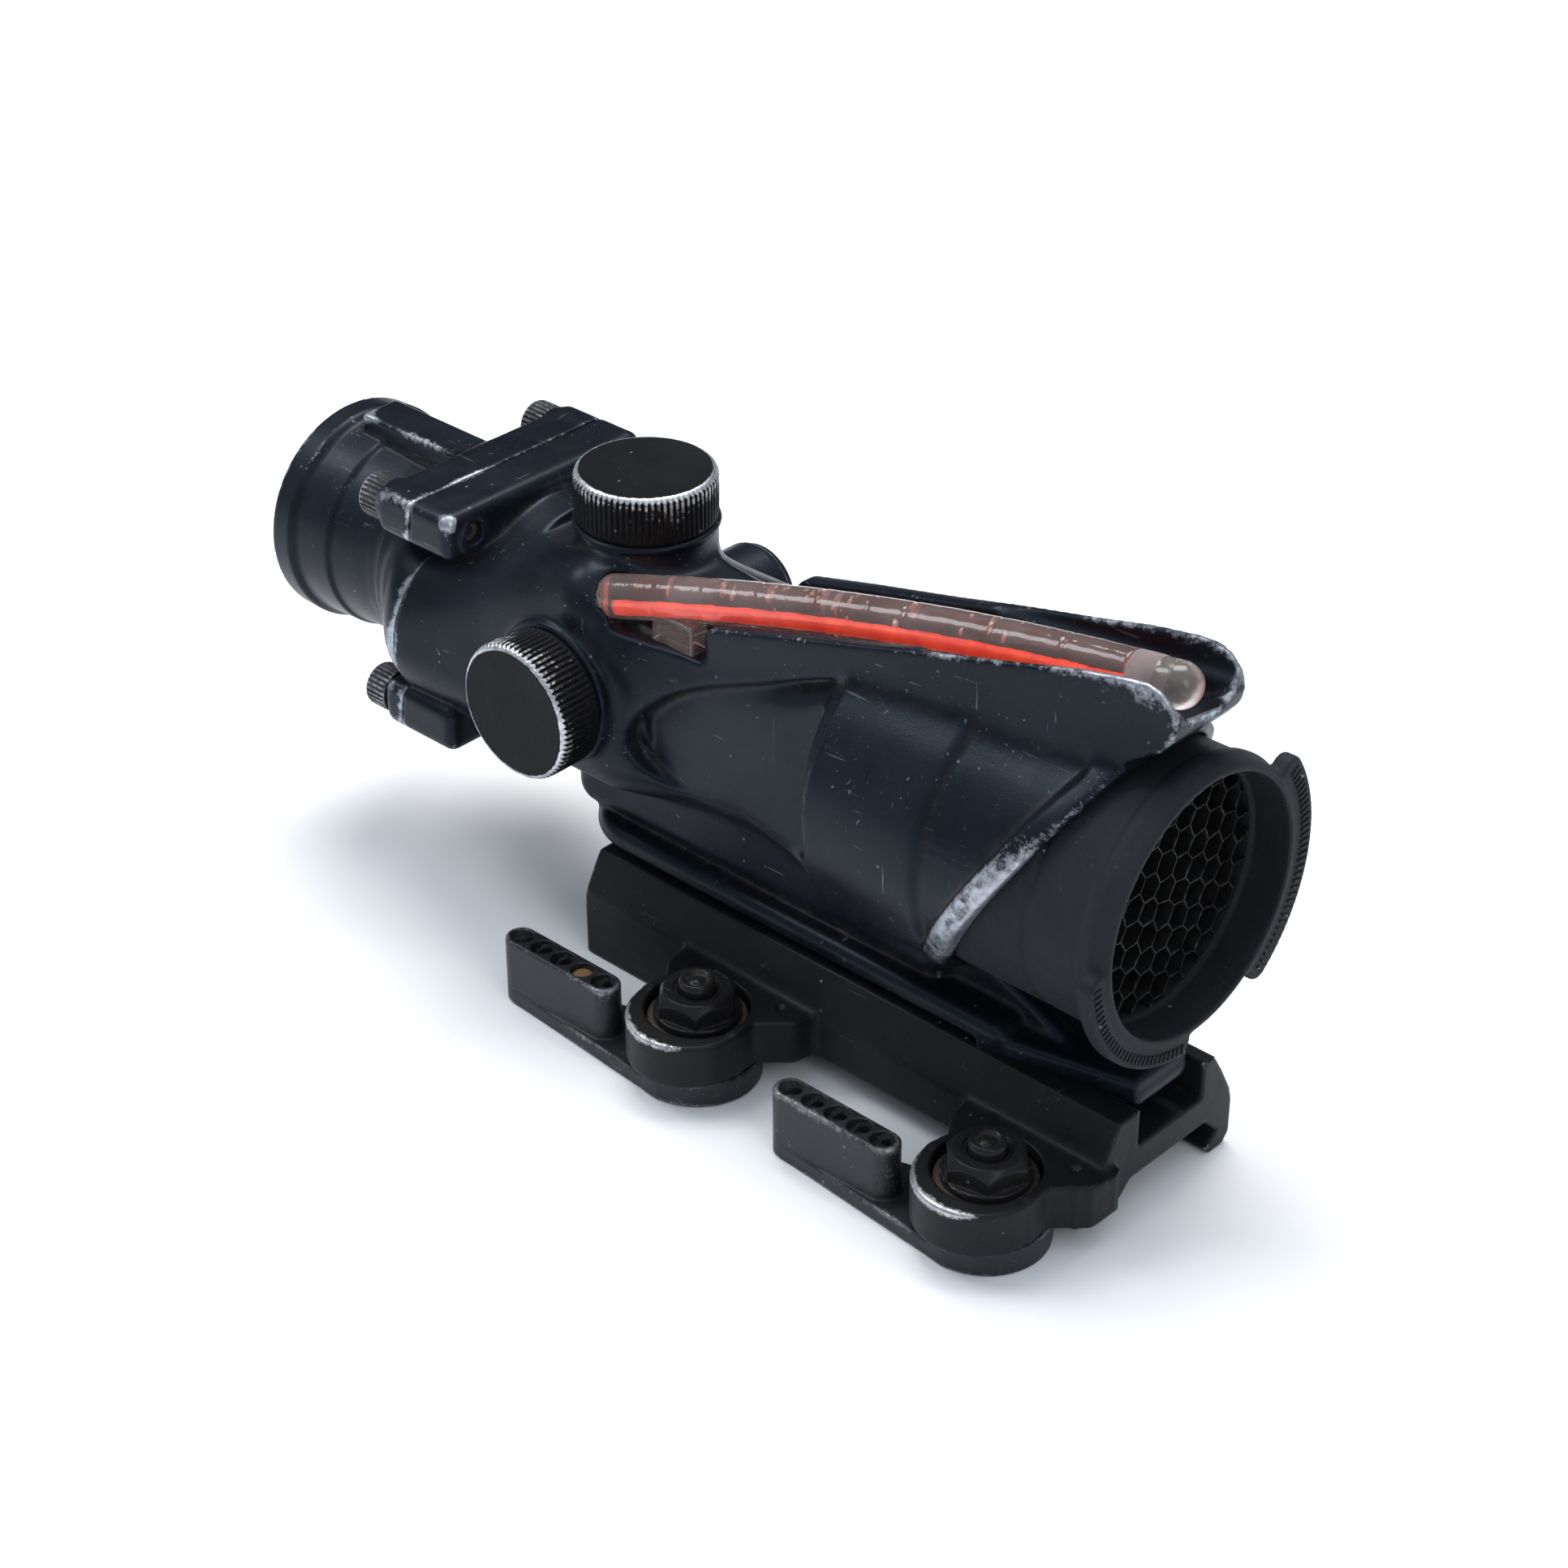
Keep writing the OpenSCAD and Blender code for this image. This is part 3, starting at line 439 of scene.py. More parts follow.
# Dust: pale specks and a faint film.
dust_tree, dust_in, dust_out = group(
    "dust", [("Amount", "NodeSocketFloat", 0.5), ("Speck size", "NodeSocketFloat", 0.25)],
    [("Specks", "NodeSocketFloat"), ("Film", "NodeSocketFloat")])
dust_place = node(dust_tree, "ShaderNodeTexCoord").outputs["Object"]
dust_cells = node(dust_tree, "ShaderNodeTexVoronoi", {"Vector": dust_place, "Scale": 620.0})
dust_pick = ramp(dust_tree, node(dust_tree, "ShaderNodeSeparateColor",
                                 {"Color": dust_cells.outputs["Color"]}).outputs[0], 0.93, 0.96)
dust_dot = ramp(dust_tree, dust_cells.outputs["Distance"], 0.16, 0.08)
dust_film = node(dust_tree, "ShaderNodeTexNoise", {"Vector": dust_place, "Scale": 160.0, "Detail": 6.0,
                                                   "Roughness": 0.7})
dust_tree.links.new(maths(dust_tree, "MULTIPLY", maths(dust_tree, "MULTIPLY", dust_pick, dust_dot),
                          dust_in.outputs["Amount"], True), dust_out.inputs["Specks"])
dust_tree.links.new(maths(dust_tree, "MULTIPLY", ramp(dust_tree, dust_film.outputs["Fac"], 0.45, 0.75),
                          dust_in.outputs["Amount"], True), dust_out.inputs["Film"])

# Cast grain: the faint pebble of a bead-blasted surface, as a height.
grain_tree, grain_in, grain_out = group(
    "blasted_grain", [("Fineness", "NodeSocketFloat", 2600.0)], [("Height", "NodeSocketFloat")])
grain_place = node(grain_tree, "ShaderNodeTexCoord").outputs["Object"]
grain_noise = node(grain_tree, "ShaderNodeTexNoise",
                   {"Vector": grain_place, "Scale": grain_in.outputs["Fineness"], "Detail": 3.0})
grain_tree.links.new(grain_noise.outputs["Fac"], grain_out.inputs["Height"])


# Settled dirt: dry brown soil caught where the surface is hollow.
dirt_tree, dirt_in, dirt_out = group(
    "settled_dirt", [("Amount", "NodeSocketFloat", 0.5), ("Depth", "NodeSocketFloat", 0.1)],
    [("Dirt", "NodeSocketFloat")])
dirt_edge = node(dirt_tree, "ShaderNodeAttribute", attribute_name="edge_wear_and_painted_light")
dirt_place = node(dirt_tree, "ShaderNodeTexCoord").outputs["Object"]
dirt_noise = node(dirt_tree, "ShaderNodeTexNoise", {"Vector": dirt_place, "Scale": 420.0, "Detail": 6.0,
                                                    "Roughness": 0.7})
dirt_hollow = maths(dirt_tree, "DIVIDE", maths(dirt_tree, "MULTIPLY", dirt_edge.outputs["Fac"], -1.0),
                    dirt_in.outputs["Depth"], True)
dirt_tree.links.new(
    maths(dirt_tree, "MULTIPLY", maths(dirt_tree, "MULTIPLY", dirt_hollow,
                                       ramp(dirt_tree, dirt_noise.outputs["Fac"], 0.4, 0.6)),
          dirt_in.outputs["Amount"], True), dirt_out.inputs["Dirt"])


def coated_metal(name, coat, lighter, bare, gloss, reach, patch, patchiness=0.5, scratches=0.5, dust=0.4,
                 grain=0.02, bare_gloss=0.34, bare_metal=0.9, dirt=0.3, dirt_depth=0.3,
                 soil=(0.075, 0.052, 0.034), specular=0.3, sheen=(0.90, 0.95, 1.0)):
    """Anodised or painted metal with a worn-through edge, hairlines, dust, and soil in the hollows."""
    made = bpy.data.materials.new(name)
    made.use_nodes = True
    tree = made.node_tree
    shader = tree.nodes["Principled BSDF"]
    shader.inputs["Specular IOR Level"].default_value = specular
    shader.inputs["Specular Tint"].default_value = (*sheen, 1)
    wear = node(tree, "ShaderNodeGroup", node_tree=wear_tree)
    wear.inputs["Reach"].default_value, wear.inputs["Patch size"].default_value = reach, patch
    wear.inputs["Patchiness"].default_value = patchiness
    hair = node(tree, "ShaderNodeGroup", node_tree=scratch_tree)
    hair.inputs["Amount"].default_value = scratches
    fluff = node(tree, "ShaderNodeGroup", node_tree=dust_tree)
    fluff.inputs["Amount"].default_value = dust
    pebble = node(tree, "ShaderNodeGroup", node_tree=grain_tree)
    place = node(tree, "ShaderNodeTexCoord").outputs["Object"]
    cloud = node(tree, "ShaderNodeTexNoise", {"Vector": place, "Scale": 70.0, "Detail": 4.0})
    body = mix(tree, ramp(tree, cloud.outputs["Fac"], 0.35, 0.7), (*coat, 1), (*lighter, 1))
    body = mix(tree, maths(tree, "MULTIPLY", fluff.outputs["Film"], 0.035), body, (0.20, 0.20, 0.20, 1))
    body = mix(tree, maths(tree, "MULTIPLY", hair.outputs[0], 0.7), body, (0.30, 0.31, 0.33, 1))
    tone = node(tree, "ShaderNodeTexNoise", {"Vector": place, "Scale": 900.0, "Detail": 3.0})
    shine = mix(tree, ramp(tree, tone.outputs["Fac"], 0.3, 0.7), (*[c * 0.55 for c in bare], 1), (*bare, 1))
    body = mix(tree, wear.outputs[0], body, shine)
    mud = node(tree, "ShaderNodeGroup", node_tree=dirt_tree)
    mud.inputs["Amount"].default_value, mud.inputs["Depth"].default_value = dirt, dirt_depth
    body = mix(tree, mud.outputs[0], body, (*soil, 1))
    body = mix(tree, maths(tree, "MULTIPLY", fluff.outputs["Specks"], 0.8), body, (0.45, 0.45, 0.44, 1))
    tree.links.new(body, shader.inputs["Base Color"])
    smear = node(tree, "ShaderNodeTexNoise", {"Vector": place, "Scale": 210.0, "Detail": 5.0,
                                              "Roughness": 0.6})
    rough = maths(tree, "ADD", maths(tree, "MULTIPLY", smear.outputs["Fac"], 0.22), gloss - 0.11)
    rough = maths(tree, "ADD", rough, maths(tree, "MULTIPLY", fluff.outputs["Film"], 0.15))
    rough = node(tree, "ShaderNodeMix", {0: wear.outputs[0], 2: rough, 3: bare_gloss}).outputs[0]
    tree.links.new(rough, shader.inputs["Roughness"])
    bared = maths(tree, "MAXIMUM", wear.outputs[0], maths(tree, "MULTIPLY", hair.outputs[0], 0.6))
    metallic = node(tree, "ShaderNodeMix", {0: bared, 2: 0.0, 3: bare_metal}).outputs[0]
    tree.links.new(metallic, shader.inputs["Metallic"])
    dent = maths(tree, "SUBTRACT", maths(tree, "MULTIPLY", pebble.outputs[0], grain),
                 maths(tree, "MULTIPLY", wear.outputs[0], 0.03))
    dent = maths(tree, "SUBTRACT", dent, maths(tree, "MULTIPLY", hair.outputs[0], 0.02))
    bump = node(tree, "ShaderNodeBump", {"Height": dent, "Strength": 1.0, "Distance": 0.001})
    tree.links.new(bump.outputs[0], shader.inputs["Normal"])
    return made


casting_finish = coated_metal("blue_black_anodised", (0.0045, 0.0058, 0.0095), (0.0095, 0.0115, 0.0175),
                              (0.46, 0.49, 0.54), 0.33, 0.41, 1.1, 0.85, scratches=0.6, specular=0.19,
                              sheen=(0.66, 0.82, 1.0))

joint_x, joint_lean = -30.2, math.tan(math.radians(7.4))     # the plane where the castings meet
joint_gap = 0.12


def beyond_joint(clay):
    """Positive distance in front of the joint plane."""
    return (clay.x - joint_x - joint_lean * clay.z) * math.cos(math.atan(joint_lean))


front = Clay((-36, -25, -37), (98.5, 26, 36.5), 0.42)
front.join(front.lofted([
    (-36, 0, -2.6, 21.4, 12.6, 12.2), (-30, 0, -2.6, 21.3, 12.8, 12.2), (-24, 0, -2.2, 20.0, 13.9, 11.6),
    (-15, 0, -1.2, 18.2, 15.6, 10.6), (-6, 0, -0.5, 17.5, 16.6, 9.6), (7, 0, -0.4, 17.4, 16.6, 9.4),
    (12, 0, -0.6, 16.2, 16.2, 10), (19, 0, -0.8, 13.9, 15.6, 10.5), (29, 0, -0.8, 13.3, 15.6, 11),
    (38, 0, -0.9, 14.6, 16.6, 12.6), (43, 0, -0.8, 16.6, 17.8, 14.6), (47, 0, 0, 19.8, 19.8, 18),
    (52, 0, 0, 20, 20, 19)]))
far_round = np.maximum(np.maximum(15.3 - np.sqrt(front.y ** 2 + front.z ** 2), 4.5 - front.y), 1.5 - front.z)
front.cut(np.maximum(far_round, abs(front.x - 15) - 27), 2.0)
front.join(front.post(0, (0, 0), -36, -14, 16.2), 2.0)
hood_edge = (front.x - 77.3 - 0.6 * front.z) / math.sqrt(1.36)       # distance in front of the slanted hood
bell = front.turned([(48, 10), (48, 21), (66.0, 21), (66.7, 20.9), (67.6, 20.35), (70, 20.4), (97, 20.7),
                     (97, 10)])
bell = -union(-bell, -hood_edge, 0.6)
front.join(bell, 0.9)
lip = front.turned([(48, 19.3), (48, 21.55), (99, 21.55), (99, 19.3)])
lip = -union(-lip, -(abs(hood_edge + 1.75) - 1.75), 1.6)
front.join(lip, 0.9)

# adjuster bosses
front.join(front.post(2, (0, 0), 0, 20.25, 9.9, 0.3), 3.2)
front.join(front.post(2, (0, 0), 19.3, 20.25, 10.35, 0.35), 0.2)
front.join(front.post(1, (0, 0), -19.15, 0, 10.0, 0.3), 2.6)
front.join(front.post(1, (0, 0), -19.15, -18.2, 10.4, 0.35), 0.2)
front.join(front.post(1, (0, 0), 0, 22.2, 7.0, 0.6), 1.2)

# cross bars with the joint screws
front.join(front.block((-40, -19, 12.3), (-19.8, 19, 19.3), 1.7), 1.6)
front.join(front.block((-40, -19, -19.3), (-21.5, 19, -12.3), 1.7), 1.6)
front.join(front.post(0, (-14.6, 15.3), -23, -19.1, 2.5, 0.5), 0.8)

# raised deck and the two rails that guard the light tube
deck = front.outline([(8, -14.7), (24, -13.7), (96.2, -7.1), (96.2, 7.1), (8, 7.1)], 2, 2, 40)
side_line = [(8, 0.5), (8, 9.7), (14, 11), (23.2, 14.2), (24.0, 16.6), (25.2, 17.5), (36, 20.3), (50, 23.7),
             (61.5, 26.7), (72.4, 29.3), (81.7, 31.7), (88.7, 33.0), (91.5, 33.2), (93.7, 32.4),
             (95.4, 30.6), (96.0, 28.4), (95.4, 26.2), (93.6, 24), (90, 21.8), (80, 17.6), (72, 15),
             (50.5, 15), (47.4, 18.0), (37.5, 13.8), (25.7, 8.6), (18, 4.4), (13, 0.5)]
deck = -union(-deck, -front.outline(side_line, 1, -30, 30), 0.9)
trough = front.outline([(6, -12.3), (24, -11.3), (99, -4.6), (99, 4.6), (6, 4.6)], 2, 2, 50)
trough_line = [(2, 10.4), (24.7, 14.0), (46, 18.6), (65, 22), (84, 24.6), (90, 25.6), (93, 27.2), (99, 31.5),
               (99, 60), (2, 60)]
trough = -union(-trough, -front.outline(trough_line, 1, -30, 30), 1.2)
deck = -union(-deck, trough, 0.9)
trough_mouth = (front.outline([(58, -9.5), (97, -5.9), (99, 5.9), (58, 5.9)], 2, 20, 50)
                + np.maximum(0, front.outline([(55, 60), (55, 25.5), (84, 29.2), (99, 31), (99, 60)], 1,
                                              -30, 30)))
deck = -union(-deck, trough_mouth, 1.0)
deck = -union(-deck, front.limb((22, -22.0, 11.2), (93, -15.4, 27.0), 8.0, 8.0), 2.0)
front.join(deck, 3.4)

# shoulder where the tube goes in
front.join(front.limb((-20, -9.5, 4), (1.8, -11.2, 12.3), 7.2, 6.6), 3.0)
front.cut(front.limb((3.0, -12.6, 13.9), (24, -9.3, 18.6), 3.2, 3.5), 0.3)
front.cut(front.block((7.6, -15.8, 11.5), (23.8, -8.6, 24), 1.2), 1.0)

# foot: pedestal, flange, tongue and the prow under the hood
front.join(front.block((-8.6, -8.4, -26), (62, 8.4, -10), 4.0), 2.4)
flange = union(front.post(2, (4, 0), -28.7, -24.9, 10.8, 1.8),
               front.block((4, -10.8, -28.7), (74, 10.8, -24.9), 1.8), 0.4)
flange = union(flange, front.outline([(70, -10.8), (92.4, -5.4), (92.4, 5.4), (70, 10.8)], 2, -30.2, -26.6,
                                     1.2), 1.0)
front.join(flange, 1.6)
front.join(front.block((8, -6.6, -34.9), (88, 6.6, -27), 0.5), 0.4)
front.join(front.outline([(40, -12), (62, -17), (69, -20.4), (75, -23), (81, -25.9), (88, -28.0),
                          (92.6, -29.1), (92.6, -30.6), (40, -30.6)], 1, -5.4, 5.4, 1.2), 1.6)

# the scoops each side of the neck run up to the rear edge of the bell
for side in (-1, 1):
    scoop = front.limb((17, side * 25.3, -3.5), (38, side * 27.6, -1.5), 10.4, 11.6)
    front.cut(scoop, 2.0)
    hollow = front.outline([(11.0, -5.5), (11.4, -3.2), (12.6, -0.8), (14.6, 1.6), (17.4, 4.2), (20.8, 6.4),
                            (25.5, 8.8), (31, 11.2), (37.5, 13.9), (42, 15.9), (44.8, 17.0), (45.6, 12),
                            (46.4, 6), (46.4, -2), (45.6, -9), (38, -12.5), (30, -12.5), (22, -11.5),
                            (16, -9.8), (12.6, -7.8)], 1, *sorted((side * 12.6, side * 30)), 1.2)
    # the gimbal ring inside keeps a wall over it here
    hollow = -union(-hollow, front.post(0, (0, 0), 8, 13.0, 14.3), 0.8)
    front.cut(hollow, 1.8)

front.keep(-(beyond_joint(front) - joint_gap), 0.25)
front.mark_edges()

# bores
front.cut(front.post(0, (0, 0), 60, 120, 19.62), 0.3)
front.cut(front.post(0, (0, 0), 51, 120, 17.2), 0.3)
front.cut(front.post(0, (0, 0), -60, 6, 14.2), 0.2)
front.cut(front.post(0, (0, 0), 5, 54, 10.4), 0.2)
front.cut(front.post(2, (0, 0), 14, 40, 5.1), 0.2)
front.cut(front.post(1, (0, 0), -40, -14, 5.1), 0.2)
front.cut(front.post(0, (-14.6, 15.9), -24, -18, 1.62), 0.15)
lip_places = [(75.6 + 0.6 * z, -math.sqrt(21.5 ** 2 - z * z), z, size, gain)
              for z, size, gain in ((-17, 4, 0.06), (-11, 5, 0.22), (-5, 6, 0.30), (2, 6, 0.30),
                                    (8, 5, 0.24), (13, 4, 0.12))]
corner_wear = [(92, -6.5, 32.4, 4, 0.13), (84, -7.5, 31.8, 6, 0.04), (94, 6, 31, 4, 0.10),
               (3.5, -16.5, 13, 2.6, 0.16), (-20.5, -18.5, 18, 2.6, 0.34), (-31, -18, 4, 3.5, 0.16),
               (-31, -21, -3, 3.5, 0.26), (-30, 14, 18, 3, 0.12)]
front.fired(
    "front_casting", ["main_housing"], "sight", casting_finish,
    rubbed=lip_places + corner_wear, scuffs=[(64.6, -21.0, -1.1, 0.5, 0.36),
                                             (67.1, -20.7, -3.8, 0.45, 0.34), (66.4, -20.7, 3.3, 0.4, 0.34),
            (50.7, -14.8, 14.9, 0.5, 0.42), (88.2, -5.9, -28.7, 1.1, 0.36)],
    clean=[(0, 0, 20, 11, 0.85), (0, -19, 0, 11, 0.8), (88, 0, -28, 9, 0.6), (10, -12, 12, 7, 0.4)])

# ---------------------------------------------------------------------------
# Rear casting.
# The eyepiece: a second casting of the same metal with a rim for a cover, a
# rib along its top, and ears that the four joint screws pull to the front one.
# ---------------------------------------------------------------------------
screw_places = ((-15.6, 15.9), (15.6, 15.9), (-15.6, -15.9), (15.6, -15.9))
rear = Clay((-63.5, -24, -21), (-26.5, 24, 21), 0.34)
rear.join(rear.turned([(-62.2, 8), (-62.2, 16.1), (-61.8, 16.5), (-58.4, 16.6), (-58.0, 16.3),
                       (-57.4, 15.75), (-51.2, 15.5), (-50.7, 15.0), (-46.5, 14.75), (-42, 14.4),
                       (-30, 14.4), (-30, 8)], 0.12))
rear.join(rear.lofted([(-42.5, 0, 0, 14.0, 14.0, 13.9), (-39.5, 0, -0.2, 14.6, 14.3, 13.9),
                       (-36.5, 0, -1.4, 17.4, 13.8, 13.0), (-34.5, 0, -2.1, 19.8, 13.2, 12.6),
                       (-32, 0, -2.6, 21.2, 12.7, 12.3), (-26, 0, -2.6, 21.4, 12.6, 12.2)]), 1.5)
rear.join(rear.post(0, (0, 0), -40, -26, 15.9), 2.0)
rear.join(rear.block((-55.6, -3.4, 8), (-26, 3.4, 18.3), 0.7), 0.9)
rear.join(rear.block((-35.2, -19, 12.3), (-20, 19, 19.2), 1.7), 1.2)
rear.join(rear.block((-36.2, -19, -19.3), (-20, 19, -12.3), 1.7), 1.2)
for side, level in screw_places:
    rear.join(rear.post(0, (side, level), -35.4, -28, 3.3, 0.4), 0.9)
rear.keep(beyond_joint(rear), 0.25)
rear.mark_edges()
rear.cut(rear.post(0, (0, 0), -80, -20, 12.2), 0.1)
rear.cut(rear.turned([(-70, 0), (-70, 13.9), (-61.2, 13.5), (-58.1, 13.1), (-58.1, 12.65), (-55.9, 12.65),
                      (-55.9, 0)]), 0.1)
for side, level in screw_places:
    rear.cut(rear.post(0, (side, level), -50, -20, 1.75))
rear.fired("rear_casting", ["eyepiece_housing"], "sight", casting_finish, rubbed=[
    (-31, -18, 4, 4, 0.16), (-31, -21, -3, 4, 0.30), (-32, -18, 18, 3, 0.30), (-55, -3, 18, 2.6, 0.34),
    (-46, -3.4, 18, 6, 0.06), (-31, -18, -11, 4, 0.15), (-58, -10, 13, 6, 0.05)],
    clean=[(-60, 8, 14, 12, 0.5)])

# ---------------------------------------------------------------------------
# Joint screws.
# Four steel drum head screws with a straight knurl and a plain round socket; they
# stand out behind the ears of the rear casting.
# ---------------------------------------------------------------------------


def woven(name, points, faces, body, material, replaced, wear=None, flat=False):
    """A mesh piece from points in mm (measured from the knobs' crossing) and faces."""
    mesh = bpy.data.meshes.new(name)
    mesh.from_pydata(((np.array(points, float) + to_row) * MM).tolist(), [], faces)
    mesh.validate()
    mesh.update()
    mesh.polygons.foreach_set("use_smooth", np.full(len(mesh.polygons), not flat))
    # this attribute holds edge wear; for the honeycomb foil it holds a painted rim highlight instead
    edge = mesh.attributes.new("edge_wear_and_painted_light", "FLOAT", "POINT")
    if wear is None:
        wear = np.zeros(len(points))
    edge.data.foreach_set("value", np.array(wear, np.float32))
    return fitted(name, mesh, body, material, replaced)


def spun(profile, count, groove=None, ripple=0.0, seed=1):
    """Points, faces and wear of a turned shape about Z.

    profile is (height, radius, wear, how far the grooves reach here); groove is (number, depth).
    """
    chance = np.random.default_rng(seed)
    bumps = chance.normal(0, ripple, count) if ripple else np.zeros(count)
    points, wear, faces = [], [], []
    for level, (height, radius, worn, grooved) in enumerate(profile):
        for k in range(count):
            angle = 2 * math.pi * k / count
            r, w = radius, worn
            if groove and grooved > 0:
                phase = (k * groove[0] / count) % 1.0
                valley = max(0.0, 1 - abs(phase - 0.5) / 0.30)
                r -= groove[1] * grooved * valley
                w -= (0.55 * valley) * grooved
            r += bumps[k] * (worn > 0.2)
            points.append((r * math.cos(angle), r * math.sin(angle), height))
            wear.append(w)
            if level:
                a, b = (level - 1) * count + k, (level - 1) * count + (k + 1) % count
                faces.append((a, b, b + count, a + count))
    return np.array(points), faces, wear


def pointed(points, axis, centre):
    """Turns a shape built along Z so that it runs along the axis given, and moves it to centre."""
    frame_of = {"+z": np.eye(3), "-y": np.array([[1, 0, 0], [0, 0, -1], [0, 1, 0]]),
                "+y": np.array([[-1, 0, 0], [0, 0, 1], [0, 1, 0]]),
                "-x": np.array([[0, 0, -1], [0, 1, 0], [1, 0, 0]]),
                "+x": np.array([[0, 0, 1], [0, 1, 0], [-1, 0, 0]])}[axis]
    return points @ frame_of.T + np.array(centre, float)


screw_steel = coated_metal("blackened_screw_steel", (0.012, 0.012, 0.013), (0.024, 0.024, 0.026),
                           (0.58, 0.58, 0.60), 0.36, 0.20, 0.7, 0.55, dirt=0.6, dirt_depth=0.3)
screw_points, screw_faces, screw_wear = [], [], []
for side, level in screw_places:
    head = [(-9.6, 0.02, 0, 0), (-9.6, 1.45, 0, 0), (0, 1.5, 0, 0), (0, 3.0, 0.0, 0), (0.12, 3.2, 0.2, 0),
            (0.3, 3.28, 0.2, 0.3), (0.55, 3.3, 0.22, 1), (3.5, 3.3, 0.22, 1), (3.75, 3.27, 0.3, 0.5),
            (3.95, 3.15, 0.45, 0), (4.08, 2.95, 0.3, 0), (4.1, 2.7, 0, 0), (4.1, 1.75, 0, 0),
            (4.05, 1.62, 0.25, 0), (3.9, 1.55, -0.3, 0), (2.3, 1.5, -0.5, 0), (2.3, 0.02, -0.5, 0)]
    made, made_faces, made_wear = spun(head, 168, (28, 0.26))
    seat = -34.72 if level > 0 else -36.32       # rear face of the ear under the head
    made = pointed(made, "-x", (seat, side, level))
    screw_faces += [tuple(v + len(screw_points) for v in f) for f in made_faces]
    screw_points += made.tolist()
    screw_wear += made_wear
woven("joint_screws", screw_points, screw_faces, "sight", screw_steel, ["housing_screws"],
      screw_wear)

# ---------------------------------------------------------------------------
# Adjuster caps.
# Two aluminium caps with straight flutes that screw down over the dials; soil
# sits in the flutes and the bevel round the face is rubbed bright.
# ---------------------------------------------------------------------------
cap_finish = coated_metal("black_cap", (0.0065, 0.0070, 0.0080), (0.010, 0.0105, 0.012), (0.72, 0.73, 0.75),
                          0.44, 0.30, 0.8, 0.75, scratches=0.15, dust=0.25, grain=0.03, dirt=0.9,
                          dirt_depth=0.4, soil=(0.055, 0.036, 0.022), specular=0.07)
cap_profile = [(24.6, 0.02, 0, 0), (24.6, 7.2, 0, 0), (20.3, 7.2, 0, 0), (20.3, 9.55, 0.0, 0),
               (20.42, 9.75, 0.0, 0), (20.62, 9.86, 0.0, 0), (20.95, 9.9, 0.1, 0.25), (21.3, 9.97, 0.18, 1),
               (23.5, 9.99, 0.24, 1), (25.6, 10.0, 0.32, 1), (26.35, 10.0, 0.42, 1),
               (26.7, 9.97, 0.36, 0.8), (26.95, 9.86, 0.50, 0.45), (27.2, 9.68, 0.60, 0.15),
               (27.38, 9.48, 0.60, 0), (27.47, 9.28, 0.42, 0), (27.5, 9.05, 0.18, 0), (27.49, 8.8, 0.05, 0),
               (27.47, 8.0, 0, 0), (27.46, 5.0, 0, 0), (27.46, 2.0, 0, 0), (27.46, 0.02, 0, 0)]
for name, body, axis, centre, replaced, seed in (
        ("elevation_cap_fluted", "elevation_cap", "+z", (0, 0, 0), "elevation_cap", 3),
        ("windage_cap_fluted", "windage_cap", "-y", (0, 1.1, 0), "windage_cap", 8)):
    made, made_faces, made_wear = spun(cap_profile, 720, (72, 0.42), 0.012, seed)
    woven(name, pointed(made, axis, centre), made_faces, body, cap_finish, [replaced], made_wear)

# Domed plug over the return spring on the far side, turned from the same metal as the casting.
plug_profile = [(15.2, 0.02, 0, 0), (15.2, 3.5, 0, 0), (21.55, 3.5, 0, 0), (21.62, 6.2, 0, 0),
                (21.75, 6.42, 0.2, 0), (22.5, 6.5, 0.1, 0), (22.9, 6.42, 0.3, 0), (23.1, 6.25, 0.3, 0),
                (23.5, 5.6, 0.1, 0), (24.1, 4.3, 0, 0), (24.6, 2.8, 0, 0), (24.9, 1.2, 0, 0),
                (24.95, 0.02, 0, 0)]
made, made_faces, made_wear = spun(plug_profile, 96)
woven("spring_plug", pointed(made, "+y", (0, 0, 0)), made_faces, "sight", casting_finish, ["spring_cap"],
      made_wear)

# ---------------------------------------------------------------------------
# Light tube.
# A bent clear plastic tube, cemented at its rear into the housing and closed
# in front by a frosted length and a clear dome. A red fibre lies inside it.
# ---------------------------------------------------------------------------
tube_a, tube_b, tube_c = np.array([6.4, -12.2, 14.8]), np.array([46, -5, 23.5]), np.array([84.6, -0.4, 29])
plane_normal = np.cross(tube_b - tube_a, tube_c - tube_a)
to_centre = (np.cross(plane_normal, tube_b - tube_a) * (tube_c - tube_a).dot(tube_c - tube_a)
             - np.cross(plane_normal, tube_c - tube_a) * (tube_b - tube_a).dot(tube_b - tube_a))
bend_centre = tube_a + to_centre / (2 * plane_normal.dot(plane_normal))
bend_radius = np.linalg.norm(tube_a - bend_centre)
outward_a, outward_c = (tube_a - bend_centre) / bend_radius, (tube_c - bend_centre) / bend_radius
bend_axis = plane_normal / np.linalg.norm(plane_normal)
bend_angle = math.acos(outward_a.dot(outward_c))


def on_bend(travel, drop=0.0):
    """Centre and frame on the bend, travel mm ahead of the tube's rear end."""
    turn = travel / bend_radius
    forward_a = np.cross(bend_axis, outward_a)
    forward_a *= 1 if forward_a[0] > 0 else -1
    out = outward_a * math.cos(turn) + forward_a * math.sin(turn)
    ahead = -outward_a * math.sin(turn) + forward_a * math.cos(turn)
    return bend_centre + out * (bend_radius - drop), out, np.cross(ahead, out), ahead


def swept(stations, around, drop=0.0):
    """Points and faces of a round bar on the bend; stations are (travel, radius)."""
    points, faces = [], []
    for level, (travel, radius) in enumerate(stations):
        centre, out, across, _ = on_bend(travel, drop)
        for k in range(around):
            angle = 2 * math.pi * k / around
            points.append(centre + radius * (math.cos(angle) * out + math.sin(angle) * across))
            if level:
                a, b = (level - 1) * around + k, (level - 1) * around + (k + 1) % around
                faces.append((a, b, b + around, a + around))
    return points, faces


tube_length = bend_angle * bend_radius
